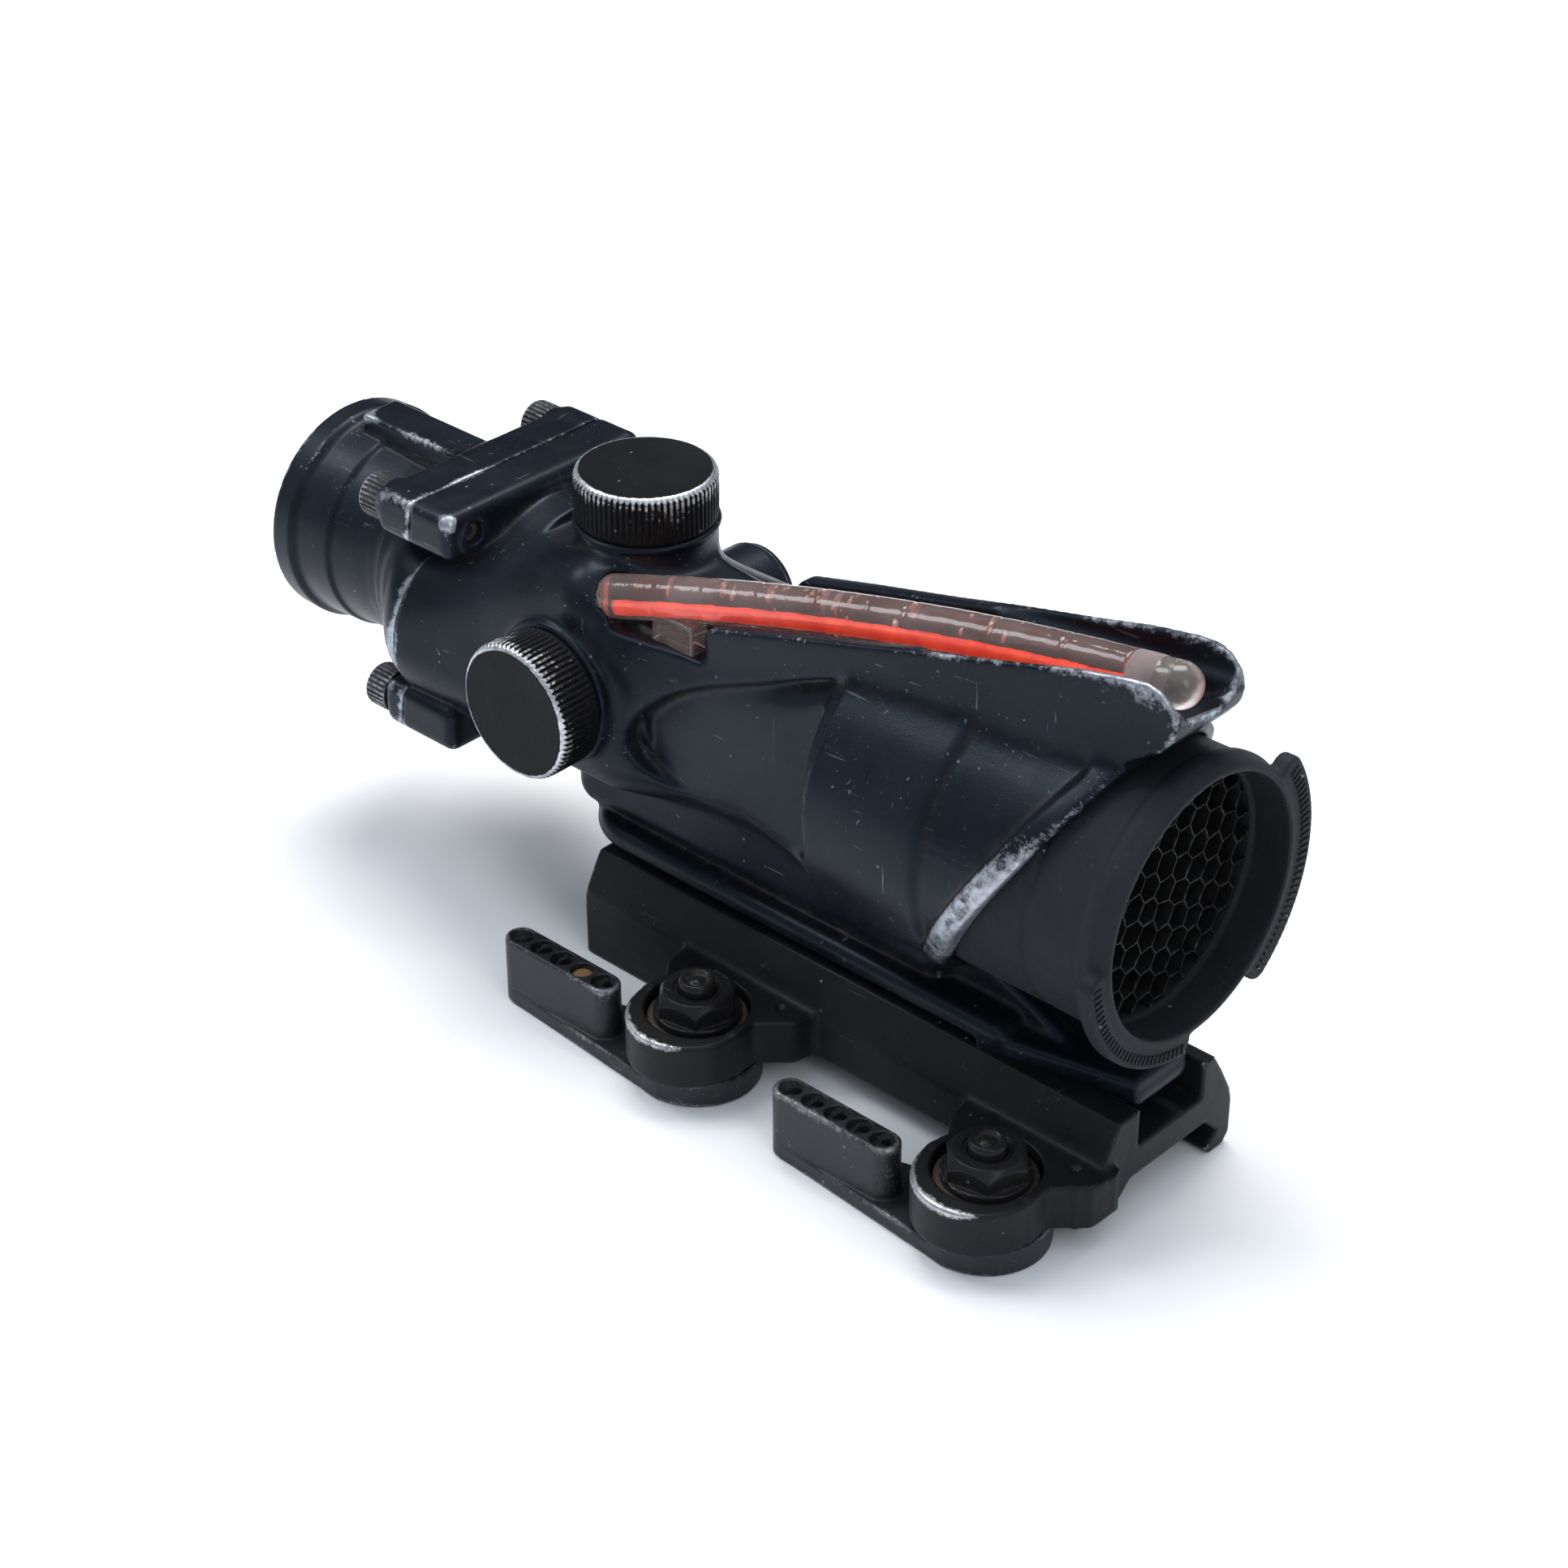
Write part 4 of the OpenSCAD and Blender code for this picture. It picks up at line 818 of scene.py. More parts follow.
# faint rings where the tube was nicked when it was bent
seams = (7.5, 15.2, 24.0, 33.5, 41.8, 47.5, 60.5, 71.0)
stations = [(-2.0, 0.3), (-1.98, 2.6), (-1.85, 2.95), (-1.6, 3.08), (0.0, 3.1)]
for travel in np.arange(0.8, tube_length - 0.5, 0.3):
    nick = max(math.exp(-((travel - seam) / 0.3) ** 2) for seam in seams)
    ripple = 0.012 * math.sin(travel * 1.7) + 0.010 * math.sin(travel * 0.6 + 1)
    stations.append((float(travel), 3.1 - 0.09 * nick + ripple))
stations += [(tube_length - 0.4, 3.1), (tube_length - 0.1, 3.09), (tube_length, 3.0), (tube_length, 0.3)]
made, made_faces = swept(stations, 64)

tube_plastic = bpy.data.materials.new("tea_coloured_plastic")
tube_plastic.use_nodes = True
tube_tree = tube_plastic.node_tree
tube_shader = tube_tree.nodes["Principled BSDF"]
tube_shader.inputs["Transmission Weight"].default_value = 0.90
tube_shader.inputs["IOR"].default_value = 1.45
tube_place = node(tube_tree, "ShaderNodeTexCoord").outputs["Object"]
tube_cloud = node(tube_tree, "ShaderNodeTexNoise", {"Vector": tube_place, "Scale": 160.0, "Detail": 4.0})
tube_tint = mix(tube_tree, ramp(tube_tree, tube_cloud.outputs["Fac"], 0.4, 0.62), (0.84, 0.70, 0.64, 1),
                (0.70, 0.52, 0.45, 1))
tube_specks = node(tube_tree, "ShaderNodeTexNoise", {"Vector": tube_place, "Scale": 620.0, "Detail": 3.0,
                                                     "Roughness": 0.7})
tube_spots = ramp(tube_tree, tube_specks.outputs["Fac"], 0.66, 0.72)
tube_tree.links.new(mix(tube_tree, maths(tube_tree, "MULTIPLY", tube_spots, 0.6), tube_tint,
                        (0.95, 0.90, 0.86, 1)),
                    tube_shader.inputs["Base Color"])
tube_rub = node(tube_tree, "ShaderNodeTexNoise", {"Vector": tube_place, "Scale": 900.0, "Detail": 4.0})
tube_tree.links.new(maths(tube_tree, "MULTIPLY", tube_rub.outputs["Fac"], 0.14),
                    tube_shader.inputs["Roughness"])
tube_bump = node(tube_tree, "ShaderNodeBump", {"Height": maths(tube_tree, "MULTIPLY",
                                                               tube_specks.outputs["Fac"], 0.04),
                                               "Distance": 0.001})
tube_tree.links.new(tube_bump.outputs[0], tube_shader.inputs["Normal"])
woven("bent_light_tube", made, made_faces, "sight", tube_plastic, ["light_tube"])

# flaws in the tube: flat cracks across it and small bubbles near its top
flaw_shine = bpy.data.materials.new("flaws_in_plastic")
flaw_shine.use_nodes = True
flaw_tree = flaw_shine.node_tree
flaw_shader = flaw_tree.nodes["Principled BSDF"]
flaw_noise = node(flaw_tree, "ShaderNodeTexNoise",
                  {"Vector": node(flaw_tree, "ShaderNodeTexCoord").outputs["Object"],
                   "Scale": 900.0, "Detail": 3.0})
flaw_tree.links.new(mix(flaw_tree, flaw_noise.outputs["Fac"], (0.80, 0.62, 0.54, 1), (0.95, 0.92, 0.90, 1)),
                    flaw_shader.inputs["Base Color"])
flaw_shader.inputs["Transmission Weight"].default_value = 0.55
flaw_shader.inputs["Roughness"].default_value = 0.12
luck = np.random.default_rng(31)
flaws, flaw_faces = [], []


def blister(travel, spread, angle, size, flat):
    """A small lump in the plastic, at travel along the bend and off its axis, flattened along the tube."""
    centre, out, across, ahead = on_bend(travel)
    middle = centre + spread * (math.cos(angle) * out + math.sin(angle) * across)
    first = len(flaws)
    for i in range(1, 6):
        for k in range(8):
            up, turn = math.pi * i / 6, 2 * math.pi * k / 8
            wobble = size * (1 + 0.25 * luck.normal())
            flaws.append(middle + ahead * math.cos(up) * size * flat
                         + wobble * math.sin(up) * (math.cos(turn) * out + math.sin(turn) * across))
            if i > 1:
                a, b = first + (i - 2) * 8 + k, first + (i - 2) * 8 + (k + 1) % 8
                flaw_faces.append((a, b, b + 8, a + 8))
    flaw_faces.append(tuple(first + k for k in reversed(range(8))))
    flaw_faces.append(tuple(first + 32 + k for k in range(8)))


for travel, how_many, spread in ((18.5, 5, 0.8), (26.5, 8, 1.2), (33.0, 16, 2.2), (37.5, 10, 1.6),
                                 (46.0, 6, 1.5), (55.0, 5, 4.0), (68.0, 4, 3.0)):
    for _ in range(how_many):
        blister(travel + luck.normal() * spread, 1.6 + 0.9 * luck.random(), luck.normal() * 0.9,
                0.12 + 0.2 * luck.random(), 1.3)
for travel in (9.0, 17.8, 25.4, 33.6, 36.2, 48.0, 59.5):
    blister(travel, 1.5, luck.normal() * 0.4, 1.25, 0.05)
woven("tube_flaws", flaws, flaw_faces, "sight", flaw_shine, None)

fibre_glow = bpy.data.materials.new("glowing_fibre")
fibre_glow.use_nodes = True
glow_tree = fibre_glow.node_tree
glow_shader = glow_tree.nodes["Principled BSDF"]
glow_noise = node(glow_tree, "ShaderNodeTexNoise",
                  {"Vector": node(glow_tree, "ShaderNodeTexCoord").outputs["Object"],
                   "Scale": 300.0, "Detail": 3.0})
glow_colour = mix(glow_tree, ramp(glow_tree, glow_noise.outputs["Fac"], 0.35, 0.65),
                  (0.74, 0.034, 0.014, 1), (0.92, 0.075, 0.03, 1))
glow_tree.links.new(glow_colour, glow_shader.inputs["Base Color"])
glow_tree.links.new(glow_colour, glow_shader.inputs["Emission Color"])
glow_shader.inputs["Emission Strength"].default_value = 0.55
glow_shader.inputs["Roughness"].default_value = 0.35
fibre_stations = [(0.3, 0.02), (0.31, 0.7)]
for travel in np.arange(0.8, tube_length - 0.4, 0.8):
    ripple = 0.03 * math.sin(travel * 0.9) + 0.02 * math.sin(travel * 2.3 + 2)
    fibre_stations.append((float(travel), 0.72 + ripple))
fibre_stations += [(tube_length - 0.31, 0.7), (tube_length - 0.3, 0.02)]
made, made_faces = swept(fibre_stations, 32, 1.1)
woven("red_fibre", made, made_faces, "sight", fibre_glow, ["light_fibre"])

# the frosted length and the dome in front of it
frost = bpy.data.materials.new("frosted_plug")
frost.use_nodes = True
frost_tree = frost.node_tree
frost_shader = frost_tree.nodes["Principled BSDF"]
frost_shader.inputs["Transmission Weight"].default_value = 0.93
frost_shader.inputs["IOR"].default_value = 1.5
frost_edge = node(frost_tree, "ShaderNodeAttribute", attribute_name="edge_wear_and_painted_light").outputs["Fac"]
frost_place = node(frost_tree, "ShaderNodeTexCoord").outputs["Object"]
frost_cloud = node(frost_tree, "ShaderNodeTexNoise",
                   {"Vector": frost_place, "Scale": 380.0, "Detail": 5.0, "Roughness": 0.7})
frost_speckle = maths(frost_tree, "MULTIPLY", frost_cloud.outputs["Fac"], 0.5)
frost_mask = ramp(frost_tree, maths(frost_tree, "ADD", frost_edge, frost_speckle), 0.6, 0.85)
milky = mix(frost_tree, ramp(frost_tree, frost_cloud.outputs["Fac"], 0.3, 0.7), (0.95, 0.72, 0.72, 1),
            (0.95, 0.93, 0.93, 1))
clear = mix(frost_tree, ramp(frost_tree, frost_cloud.outputs["Fac"], 0.52, 0.6), (0.93, 0.88, 0.78, 1),
            (0.98, 0.97, 0.94, 1))
frost_tree.links.new(mix(frost_tree, frost_mask, clear, milky), frost_shader.inputs["Base Color"])
frost_tree.links.new(node(frost_tree, "ShaderNodeMix", {0: frost_mask, 2: 0.03, 3: 0.75}).outputs[0],
                     frost_shader.inputs["Roughness"])
frost_bump = node(frost_tree, "ShaderNodeBump", {"Height": maths(frost_tree, "MULTIPLY",
                                                                 frost_cloud.outputs["Fac"], 0.10),
                                                 "Distance": 0.001})
frost_tree.links.new(frost_bump.outputs[0], frost_shader.inputs["Normal"])
start = tube_length + 0.05
dome = [(start, 0.05, 1), (start, 2.9, 1), (start + 0.15, 3.08, 1), (start + 1.6, 3.12, 1),
        (start + 3.0, 3.1, 1), (start + 3.9, 3.06, 0.5), (start + 4.3, 2.98, 0.0), (start + 4.7, 3.06, 0),
        (start + 6.0, 3.1, 0)]
dome += [(start + 6.3 + 3.05 * math.sin(t), max(3.08 * math.cos(t), 0.02), 0)
         for t in np.linspace(0.05, math.pi / 2, 10)]
made, made_faces = swept([d[:2] for d in dome], 48)
woven("tube_end_plug", made, made_faces, "sight", frost, ["tube_plug"],
      np.repeat([d[2] for d in dome], 48))

# small clear prop under the rear of the tube
prop = Clay((13.2, -13.9, 10.8), (22.0, -9.2, 16.4), 0.14)
prop.join(prop.block((13.8, -13.2, 11.45), (21.3, -10.0, 15.8), 0.3))
prop_line = prop.limb(on_bend(2)[0], on_bend(22)[0], 3.1, 3.1)
prop.cut(prop_line)
prop.fired("tube_prop", ["tube_foot"], "sight", tube_plastic, 0.4)

# ---------------------------------------------------------------------------
# Glare sleeve.
# A moulded rubbery plastic sleeve pushed over the objective barrel, with two
# finger flanges round its front and a honeycomb foil bonded across it.
# ---------------------------------------------------------------------------
sleeve_plastic = coated_metal("charcoal_rubbery_plastic", (0.0115, 0.0130, 0.0155),
                              (0.0175, 0.0195, 0.0225), (0.09, 0.095, 0.10), 0.62, 0.30, 1.2, 0.7,
                              scratches=0.1, dust=0.6, grain=0.05, bare_gloss=0.55, bare_metal=0.0,
                              dirt=0.15, specular=0.16)
sleeve = Clay((61.2, -24.6, -24.6), (98.0, 24.6, 24.6), 0.3)
sleeve.join(sleeve.turned([(62, 10), (62, 19.35), (83.2, 19.35), (83.8, 19.05), (84.2, 19.05),
                           (84.8, 19.35), (92.6, 19.45), (93.4, 19.9), (94.6, 20.0), (96.3, 19.35),
                           (96.9, 18.8), (96.9, 10)], 0.1))
for middle, half, reach_out in ((-8, 47, 23.2), (225, 44, 22.2)):
    angle = np.degrees(np.arctan2(sleeve.z, sleeve.y)) - middle
    angle = abs((angle + 180) % 360 - 180)
    from_axis = np.sqrt(sleeve.y ** 2 + sleeve.z ** 2)
    round_r = 2.2
    side_on, edge_on = from_axis - reach_out + round_r, (angle - half) * math.radians(1) * from_axis + round_r
    rim = rounded_corner(side_on, edge_on) - round_r + 0.5
    thick = abs(sleeve.x - 95.6) - 0.7
    flange_arc = rounded_corner(rim, thick) - 0.5
    sleeve.join(flange_arc.astype(np.float32), 0.8)
sleeve.mark_edges()
sleeve.cut(sleeve.post(0, (0, 0), 50, 120, 17.6))
sleeve.cut(sleeve.post(0, (0, 0), 91.2, 120, 18.1), 0.2)
sleeve.fired("glare_sleeve_moulding", ["glare_sleeve"], "sleeve", sleeve_plastic, 0.7)

# raised grip ticks on the front of both flanges
ticks, tick_faces = [], []
for middle, half, inner, outer in ((-8, 42, 20.5, 22.4), (225, 39, 20.1, 21.5)):
    for degrees in np.arange(middle - half, middle + half + 0.1, 2.6):
        a = math.radians(degrees)
        along, out = np.array([0, -math.sin(a), math.cos(a)]), np.array([0, math.cos(a), math.sin(a)])
        first = len(ticks)
        for x, shrink in ((96.6, 1.0), (97.05, 0.72)):
            for r, side in ((inner, -1), (inner, 1), (outer, 1), (outer, -1)):
                r = r + (1 - shrink) * (0.35 if r == inner else -0.35)
                ticks.append(np.array([x, 0, 0]) + out * r + along * side * 0.24 * shrink)
        tick_faces += [(first + 4, first + 5, first + 6, first + 7)] + [
            (first + k, first + (k + 1) % 4, first + 4 + (k + 1) % 4, first + 4 + k) for k in range(4)]
woven("flange_grip_ticks", ticks, tick_faces, "sleeve", sleeve_plastic, None, flat=True)

# honeycomb foil: thin strips joined at slightly uneven corners, their front rims painted lighter and partly
# metallic as a painted highlight
foil = bpy.data.materials.new("black_foil")
foil.use_nodes = True
foil_tree = foil.node_tree
foil_shader = foil_tree.nodes["Principled BSDF"]
foil_painted_rim = node(foil_tree, "ShaderNodeAttribute", attribute_name="edge_wear_and_painted_light").outputs["Fac"]
foil_noise = node(foil_tree, "ShaderNodeTexNoise",
                  {"Vector": node(foil_tree, "ShaderNodeTexCoord").outputs["Object"],
                   "Scale": 500.0, "Detail": 3.0})
# painted highlight: the per-vertex rim value lifts the base colour and metallic of the strips' front rims,
# broken up by noise
foil_lit = maths(foil_tree, "MULTIPLY", foil_painted_rim, ramp(foil_tree, foil_noise.outputs["Fac"], 0.3, 0.7))
foil_tree.links.new(mix(foil_tree, foil_lit, (0.006, 0.006, 0.0065, 1), (0.07, 0.07, 0.068, 1)),
                    foil_shader.inputs["Base Color"])
foil_tree.links.new(maths(foil_tree, "MULTIPLY", foil_lit, 0.5), foil_shader.inputs["Metallic"])
foil_shader.inputs["Roughness"].default_value = 0.5
foil_shader.inputs["Specular IOR Level"].default_value = 0.15
chance = np.random.default_rng(12)
cell_pitch, foil_reach = 3.7, 17.45
cell = cell_pitch / math.sqrt(3)
corners, strips = {}, set()
for i in range(-7, 8):
    for j in range(-7, 8):
        cy, cz = i * 1.5 * cell, (j + (abs(i) % 2) / 2) * cell_pitch
        ring = [(round(cy + cell * math.cos(math.radians(60 * k)), 3),
                 round(cz + cell * math.sin(math.radians(60 * k)), 3))
                for k in range(6)]
        for k in range(6):
            a, b = ring[k], ring[(k + 1) % 6]
            if math.hypot(*a) < 17.4 or math.hypot(*b) < 17.4:
                strips.add((min(a, b), max(a, b)))
for a, b in sorted(strips):
    for corner in (a, b):
        if corner not in corners:
            corners[corner] = np.array(corner) + chance.normal(0, 0.13, 2)
foil_points, foil_faces, foil_painted_light = [], [], []
for a, b in sorted(strips):
    pa, pb = corners[a], corners[b]
    inner, outer = (pa, pb) if np.hypot(*pa) < np.hypot(*pb) else (pb, pa)
    if np.hypot(*outer) > foil_reach:
        run = outer - inner
        low, high = 0.0, 1.0
        for _ in range(20):
            middle = (low + high) / 2
            within = np.hypot(*(inner + run * middle)) < foil_reach
            low, high = (middle, high) if within else (low, middle)
        outer = inner + run * low
    if np.hypot(*(outer - inner)) < 0.15:
        continue
    run = (outer - inner) / np.hypot(*(outer - inner))
    side = np.array([-run[1], run[0]]) * 0.055
    steps = 3
    first = len(foil_points)
    # lit is the painted highlight for each layer of a strip: full on the front rim, a little just behind it,
    # none at the back
    for x, lit in ((91.0, 1.0), (90.8, 0.15), (84.3, 0.0)):
        for t in range(steps + 1):
            bow = side * 2.2 * math.sin(math.pi * t / steps) * math.copysign(1, chance.normal()) * (x > 90)
            spot = inner + (outer - inner) * t / steps + bow * 0.6
            foil_points += [(x, *(spot + side)), (x, *(spot - side))]
            foil_painted_light += [lit, lit]
    width = 2 * (steps + 1)
    for t in range(steps):
        for layer in range(2):
            base = first + layer * width + 2 * t
            foil_faces += [(base, base + 2, base + 2 + width, base + width),
                           (base + 3, base + 1, base + 1 + width, base + 3 + width)]
        foil_faces.append((first + 2 * t, first + 2 * t + 1, first + 2 * t + 3, first + 2 * t + 2))
# the painted rim highlight goes into the mesh as its per-vertex values; it is painted light, not wear
woven("honeycomb_foil", foil_points, foil_faces, "sleeve", foil, ["glare_comb"], foil_painted_light,
      flat=True)

# ---------------------------------------------------------------------------
# Clamp body.
# One milled aluminium block, matt black: a fixed jaw along the far side, a
# channel for the casting's tongue and two round ears for the levers.
# ---------------------------------------------------------------------------
clamp_finish = coated_metal("matt_black_clamp", (0.0045, 0.0048, 0.0055), (0.008, 0.0085, 0.0095),
                            (0.56, 0.57, 0.58), 0.46, 0.46, 0.9, 0.9, scratches=0.15, dust=0.45,
                            grain=0.012, dirt=0.35, dirt_depth=0.6, specular=0.22)
ear_places = (31.5, 83.0)                       # x of the two lever pivots
pivot_y = -23.5
tab_y = -28.05                                  # middle of the finger tabs
clamp = Clay((-1.2, -34.9, -46.3), (95.6, 14.9, -28.4), 0.36)
clamp.join(clamp.outline([(-6.7, -29.2), (-11, -29.2), (-12.5, -31.8), (-13.6, -33.9), (-14.2, -35.2),
                          (-14.2, -41.6), (-9.9, -41.6), (-7.9, -39.6), (7.9, -39.6), (10.7, -42.4),
                          (8.6, -44.45), (9.4, -45.5), (12.4, -45.5), (13.7, -43.9), (13.7, -38.9),
                          (13.1, -36.5), (11, -32.5), (9, -29.2), (6.7, -29.2), (6.7, -35), (-6.7, -35)],
                         0, 0, 94.4, 0.25))
clamp.join(clamp.block((0, -14.2, -45.5), (18.6, -11.7, -37), 0.3), 0.2)
for place in ear_places:
    ear = clamp.post(2, (place, -25.2), -41.6, -34.8, 8.7, 0.35)
    ear = union(ear, clamp.outline([(place - 8.7, -25.2), (place - 8.2, -21.5), (place - 10.6, -18.4),
                                    (place - 11.4, -12), (place + 13.6, -12), (place + 12.6, -17.6),
                                    (place + 10.6, -19.4), (place + 8.6, -21.5), (place + 8.7, -25.2)],
                                   2, -41.6, -34.8, 0.35), 0.8)
    clamp.join(ear, 1.6)
clamp.join(clamp.block((76, -19.2, -41.6), (94.4, -10, -34.8), 0.35), 0.5)
clamp.mark_edges()
for place in ear_places:
    clamp.cut(clamp.post(2, (place, pivot_y), -37.4, -20, 7.25), 0.15)
    clamp.cut(clamp.post(2, (place, pivot_y), -60, -20, 3.05))
    clamp.cut(clamp.ball((place + 8.6, -16.2, -34.6), 0.75))
for place in (22, 62):
    clamp.cut(clamp.post(2, (place, 0), -60, -36.8, 4.3), 0.1)
    clamp.cut(clamp.post(2, (place, 0), -60, -30, 2.3))
rear_bevel = (clamp.x + 1.2) * math.cos(math.radians(20)) - (clamp.z + 33) * math.sin(math.radians(20))
clamp.keep(np.broadcast_to(-rear_bevel, clamp.d.shape), 0.2)
ear_wear = []
for place in ear_places:
    for degrees, gain in ((195, 0.12), (210, 0.2), (228, 0.3), (246, 0.34), (264, 0.36), (284, 0.34),
                          (302, 0.22)):
        a = math.radians(degrees)
        ear_wear.append((place + 8.7 * math.cos(a), -25.2 + 8.7 * math.sin(a), -35.1, 1.7, gain))
clamp.fired("clamp_block", ["clamp_base"], "sight", clamp_finish, 0.7, rubbed=ear_wear)

# ---------------------------------------------------------------------------
# Levers.
# Steel levers, phosphated dark grey: a round foot under each ear with a nose
# that hooks the rail, a thin arm and an upright finger tab with five blind holes.
# ---------------------------------------------------------------------------
lever_finish = coated_metal("phosphated_steel", (0.012, 0.0125, 0.014), (0.024, 0.025, 0.028),
                            (0.30, 0.30, 0.31), 0.40, 0.20, 0.6, 0.7, scratches=0.35, dust=0.5, grain=0.02,
                            dirt=0.7, dirt_depth=0.45, specular=0.35)
for place, name in zip(ear_places, ("rear_lever", "front_lever")):
    lever = Clay((place - 33.6, -34.0, -46.4), (place + 10.2, -10.2, -34.0), 0.2)
    lever.join(lever.post(2, (place, pivot_y), -45.6, -41.75, 8.9, 0.4))
    lever.join(lever.outline([(place - 3.5, -17.5), (place + 4.5, -17.5), (place + 3.8, -11.6),
                              (place - 1, -11.2), (place - 3, -11.9)],
                             2, -45.6, -41.75, 0.3), 0.3)
    lever.join(lever.outline([(place + 1, -32.4), (place - 29.8, -30.3), (place - 29.8, -26.1),
                              (place - 8, -19.6), (place, -20)],
                             2, -45.6, -43.2, 0.3), 0.4)
    tab = lever.outline([(place - 30.0, -30.37), (place - 13.5, -30.37), (place - 13.5, -25.73),
                         (place - 30.0, -25.73)],
                        2, -45.6, -35.0, 0.5)
    for end in (-30.0, -13.5):
        tab = union(tab, lever.post(2, (place + end, tab_y), -45.6, -35.0, 2.32, 0.5), 0.05)
    lever.join(tab, 0.5)
    lever.mark_edges()
    for hole in range(5):
        lever.cut(lever.post(2, (place - 29.8 + 4.0 * hole, tab_y), -37.4, -30, 1.62), 0.12)
    lever.cut(lever.post(2, (place, pivot_y), -50, -30, 2.6))
    lever.fired(name + "_forging", [name], name, lever_finish, 0.6)

# dry soil packed in one of the rear lever's holes
tan_soil = coated_metal("tan_soil", (0.16, 0.095, 0.045), (0.30, 0.19, 0.10), (0.3, 0.2, 0.1), 0.85, 0.9,
                        1.0, 0.2, scratches=0.0, dust=0.8, grain=0.25, bare_metal=0.0, dirt=0.0, specular=0.1)
soil_profile = [(-37.35, 0.02, 0, 0), (-37.35, 1.58, 0, 0), (-36.1, 1.60, 0, 0), (-35.85, 1.4, 0, 0),
                (-35.7, 1.0, 0, 0), (-35.62, 0.5, 0, 0), (-35.6, 0.02, 0, 0)]
made, made_faces, made_wear = spun(soil_profile, 40)
woven("hole_soil", pointed(made, "+z", (ear_places[0] - 17.8, tab_y, 0)), made_faces, "rear_lever",
      tan_soil, None, made_wear)

# ---------------------------------------------------------------------------
# Pivot studs, nuts and washers.
# Each lever turns on a steel stud, locked by a chamfered hex nut over a brown
# stained washer in the counterbore of the ear.
# ---------------------------------------------------------------------------
nut_finish = coated_metal("oiled_nut_steel", (0.009, 0.009, 0.010), (0.017, 0.0165, 0.017),
                          (0.55, 0.54, 0.52), 0.24, 0.17, 0.7, 0.5, scratches=0.3, dust=0.4, grain=0.01,
                          dirt=0.9, dirt_depth=0.3, bare_gloss=0.25, specular=0.15)
washer_finish = coated_metal("stained_washer", (0.045, 0.036, 0.029), (0.070, 0.055, 0.043),
                             (0.30, 0.26, 0.22), 0.5, 0.32, 0.8, 0.5, scratches=0.3, dust=0.9, grain=0.05,
                             dirt=0.9, dirt_depth=0.2)
nut_radius = 5.9                               # to the corners of the hexagon
for place, side in zip(ear_places, ("rear", "front")):
    body = side + "_lever"
    nut = Clay((place - 7.4, -30.9, -37.9), (place + 7.4, -16.1, -30.4), 0.13)
    hexagon = [(place + nut_radius * math.cos(math.radians(60 * k + 12)),
                pivot_y + nut_radius * math.sin(math.radians(60 * k + 12))) for k in range(6)]
    nut.join(nut.outline(hexagon, 2, -36.2, -31.7, 0.22))
    cone = np.sqrt((nut.x - place) ** 2 + (nut.y - pivot_y) ** 2)
    nut.keep((cone - 5.2 + 0.9 * (nut.z + 32.35)) * 0.74, 0.15)
    nut.join(nut.post(2, (place, pivot_y), -36.2, -34.9, 6.1, 0.35), 0.3)
    nut.cut(nut.post(2, (place, pivot_y), -60, -20, 2.62))
    nut.cut(nut.post(2, (place, pivot_y), -32.0, -20, 3.3, 0.2), 0.2)
    nut.fired(side + "_hex_nut", [side + "_nut"], body, nut_finish, 0.45)

    stud_profile = [(-45.25, 0.02, 0, 0), (-45.25, 2.55, 0, 0), (-31.3, 2.55, 0, 0), (-30.55, 2.5, 0.05, 0),
                    (-30.3, 2.3, 0.12, 0), (-30.2, 2.05, 0.1, 0), (-30.25, 1.8, 0.0, 0),
                    (-30.6, 1.55, -0.2, 0), (-30.75, 1.35, -0.2, 0), (-30.55, 1.1, 0.1, 0),
                    (-30.3, 0.7, 0.05, 0), (-30.22, 0.3, 0.0, 0), (-30.2, 0.02, 0.0, 0)]
    made, made_faces, made_wear = spun(stud_profile, 64)
    woven(side + "_pivot_stud", pointed(made, "+z", (place, pivot_y, 0)), made_faces, body, nut_finish,
          [side + "_stud"], made_wear)

    washer_profile = [(-37.38, 2.6, 0, 0), (-37.38, 6.8, 0, 0), (-37.2, 6.95, 0, 0), (-36.35, 6.95, 0.1, 0),
                      (-36.15, 6.8, 0.35, 0), (-36.08, 6.55, 0.1, 0), (-36.1, 6.3, -0.2, 0),
                      (-36.1, 4.6, -0.2, 0), (-36.1, 2.6, 0, 0)]
    made, made_faces, made_wear = spun(washer_profile, 96)
    woven(side + "_flat_washer", pointed(made, "+z", (place, pivot_y, 0)), made_faces, body, washer_finish,
          [side + "_washer"], made_wear)

# ---------------------------------------------------------------------------
# Lenses, prisms and inner works.
# These keep the shapes of the design and get their own glass, steel and
# rubber; most are seen only through the eyepiece or with a cap off.
# ---------------------------------------------------------------------------


def plain_metal(name, dark, light, roughness):
    """Bare machined metal with a faint cloudy tarnish."""
    made = bpy.data.materials.new(name)
    made.use_nodes = True
    tree = made.node_tree
    shader = tree.nodes["Principled BSDF"]
    place = node(tree, "ShaderNodeTexCoord").outputs["Object"]
    cloud = node(tree, "ShaderNodeTexNoise", {"Vector": place, "Scale": 240.0, "Detail": 5.0,
                                              "Roughness": 0.65})
    tree.links.new(mix(tree, ramp(tree, cloud.outputs["Fac"], 0.35, 0.65), (*dark, 1), (*light, 1)),
                   shader.inputs["Base Color"])
    tree.links.new(maths(tree, "ADD", maths(tree, "MULTIPLY", cloud.outputs["Fac"], 0.2), roughness - 0.1),
                   shader.inputs["Roughness"])
    shader.inputs["Metallic"].default_value = 0.85
    return made


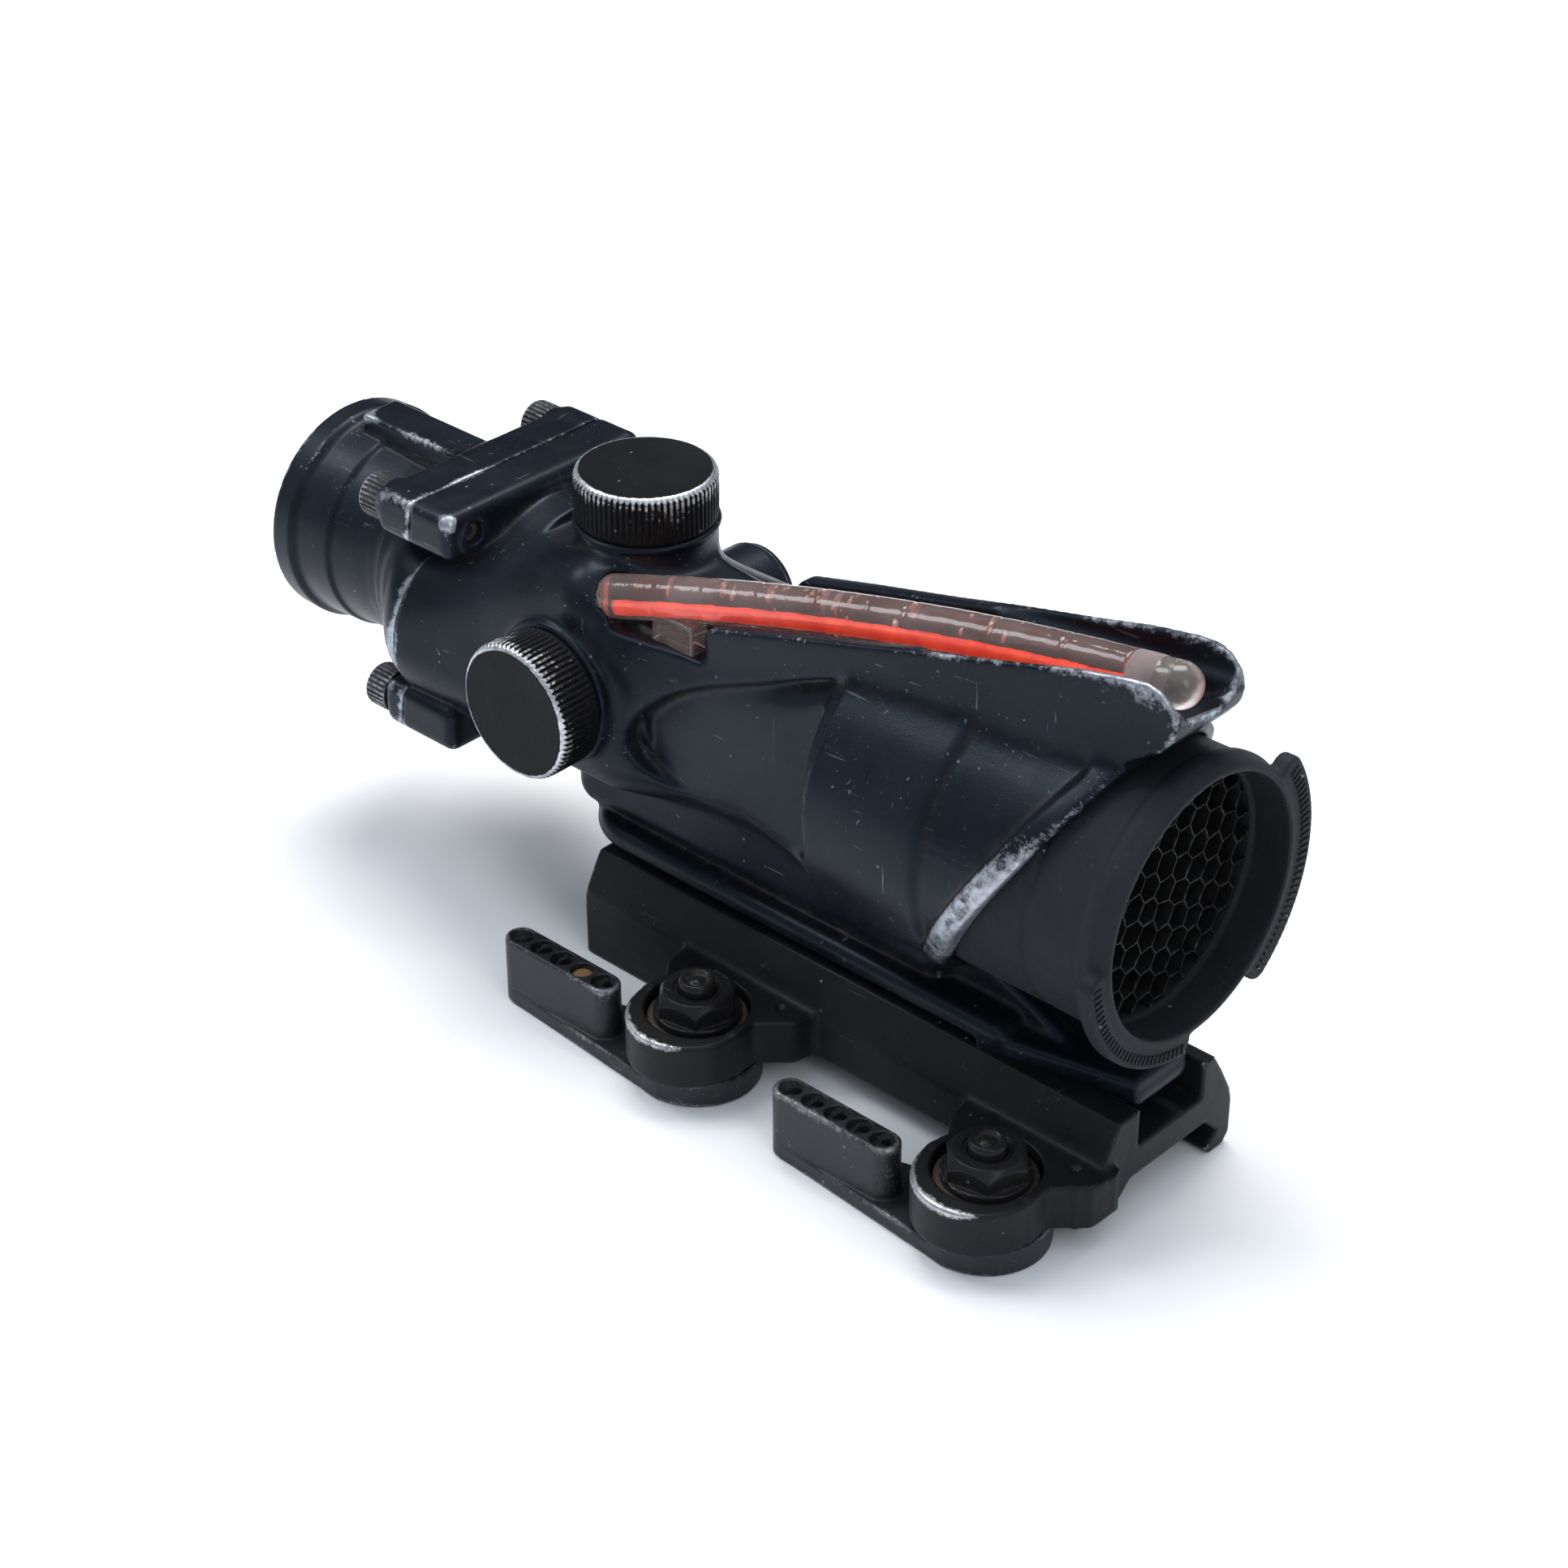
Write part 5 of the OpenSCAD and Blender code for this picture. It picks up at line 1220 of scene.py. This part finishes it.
def clear_glass(name, tint, smudge):
    """Optical glass with a coating tint and faint smudges."""
    made = bpy.data.materials.new(name)
    made.use_nodes = True
    tree = made.node_tree
    shader = tree.nodes["Principled BSDF"]
    shader.inputs["Transmission Weight"].default_value = 0.92
    shader.inputs["IOR"].default_value = 1.52
    place = node(tree, "ShaderNodeTexCoord").outputs["Object"]
    cloud = node(tree, "ShaderNodeTexNoise", {"Vector": place, "Scale": 120.0, "Detail": 5.0})
    tree.links.new(mix(tree, cloud.outputs["Fac"], (*tint, 1), (*[min(1, c * 1.15) for c in tint], 1)),
                   shader.inputs["Base Color"])
    tree.links.new(maths(tree, "MULTIPLY", ramp(tree, cloud.outputs["Fac"], 0.55, 0.8), smudge),
                   shader.inputs["Roughness"])
    return made


def soft_rubber(name):
    """Black rubber with a dusty bloom."""
    made = bpy.data.materials.new(name)
    made.use_nodes = True
    tree = made.node_tree
    shader = tree.nodes["Principled BSDF"]
    place = node(tree, "ShaderNodeTexCoord").outputs["Object"]
    cloud = node(tree, "ShaderNodeTexNoise", {"Vector": place, "Scale": 500.0, "Detail": 5.0})
    tree.links.new(mix(tree, ramp(tree, cloud.outputs["Fac"], 0.5, 0.75), (0.012, 0.012, 0.013, 1),
                       (0.05, 0.047, 0.043, 1)),
                   shader.inputs["Base Color"])
    shader.inputs["Roughness"].default_value = 0.75
    return made


inner_finishes = (
    (("eye_lens", "field_lens", "reticle"), clear_glass("green_coated_glass", (0.82, 0.93, 0.88), 0.12),
     "lens_glass"),
    (("objective_lens",), clear_glass("amber_coated_glass", (0.80, 0.70, 0.86), 0.10), "lens_glass"),
    (("entry_prism", "roof_prism"), clear_glass("prism_glass", (0.90, 0.95, 0.96), 0.05), "prism_glass"),
    (("lamp",), clear_glass("lamp_glass", (0.80, 0.95, 0.60), 0.2), "lamp_glass"),
    (("eye_ring", "objective_ring"),
     plain_metal("black_retaining_ring", (0.012, 0.012, 0.013), (0.025, 0.025, 0.027), 0.5), "black_metal"),
    (("prism_cell", "gimbal_ring", "spring_plunger"),
     plain_metal("machined_inner_metal", (0.28, 0.28, 0.29), (0.42, 0.42, 0.43), 0.4), "inner_metal"),
    (("elevation_dial", "windage_dial"),
     plain_metal("dial_steel", (0.35, 0.35, 0.36), (0.50, 0.50, 0.51), 0.35), "dial_metal"),
    (("clamp_screws",), plain_metal("black_socket_screw", (0.05, 0.05, 0.052), (0.10, 0.10, 0.10), 0.4),
     "dark_steel"),
    (("lock_screw",), plain_metal("stained_grub_screw", (0.16, 0.13, 0.10), (0.30, 0.26, 0.22), 0.45),
     "dirty_steel"),
    (("housing_seal", "elevation_seal", "windage_seal"), soft_rubber("seal_rubber"), "rubber"))
for names, finish, place in inner_finishes:
    for name in names:
        nodes[name].data.materials.clear()
        nodes[name].data.materials.append(finish)
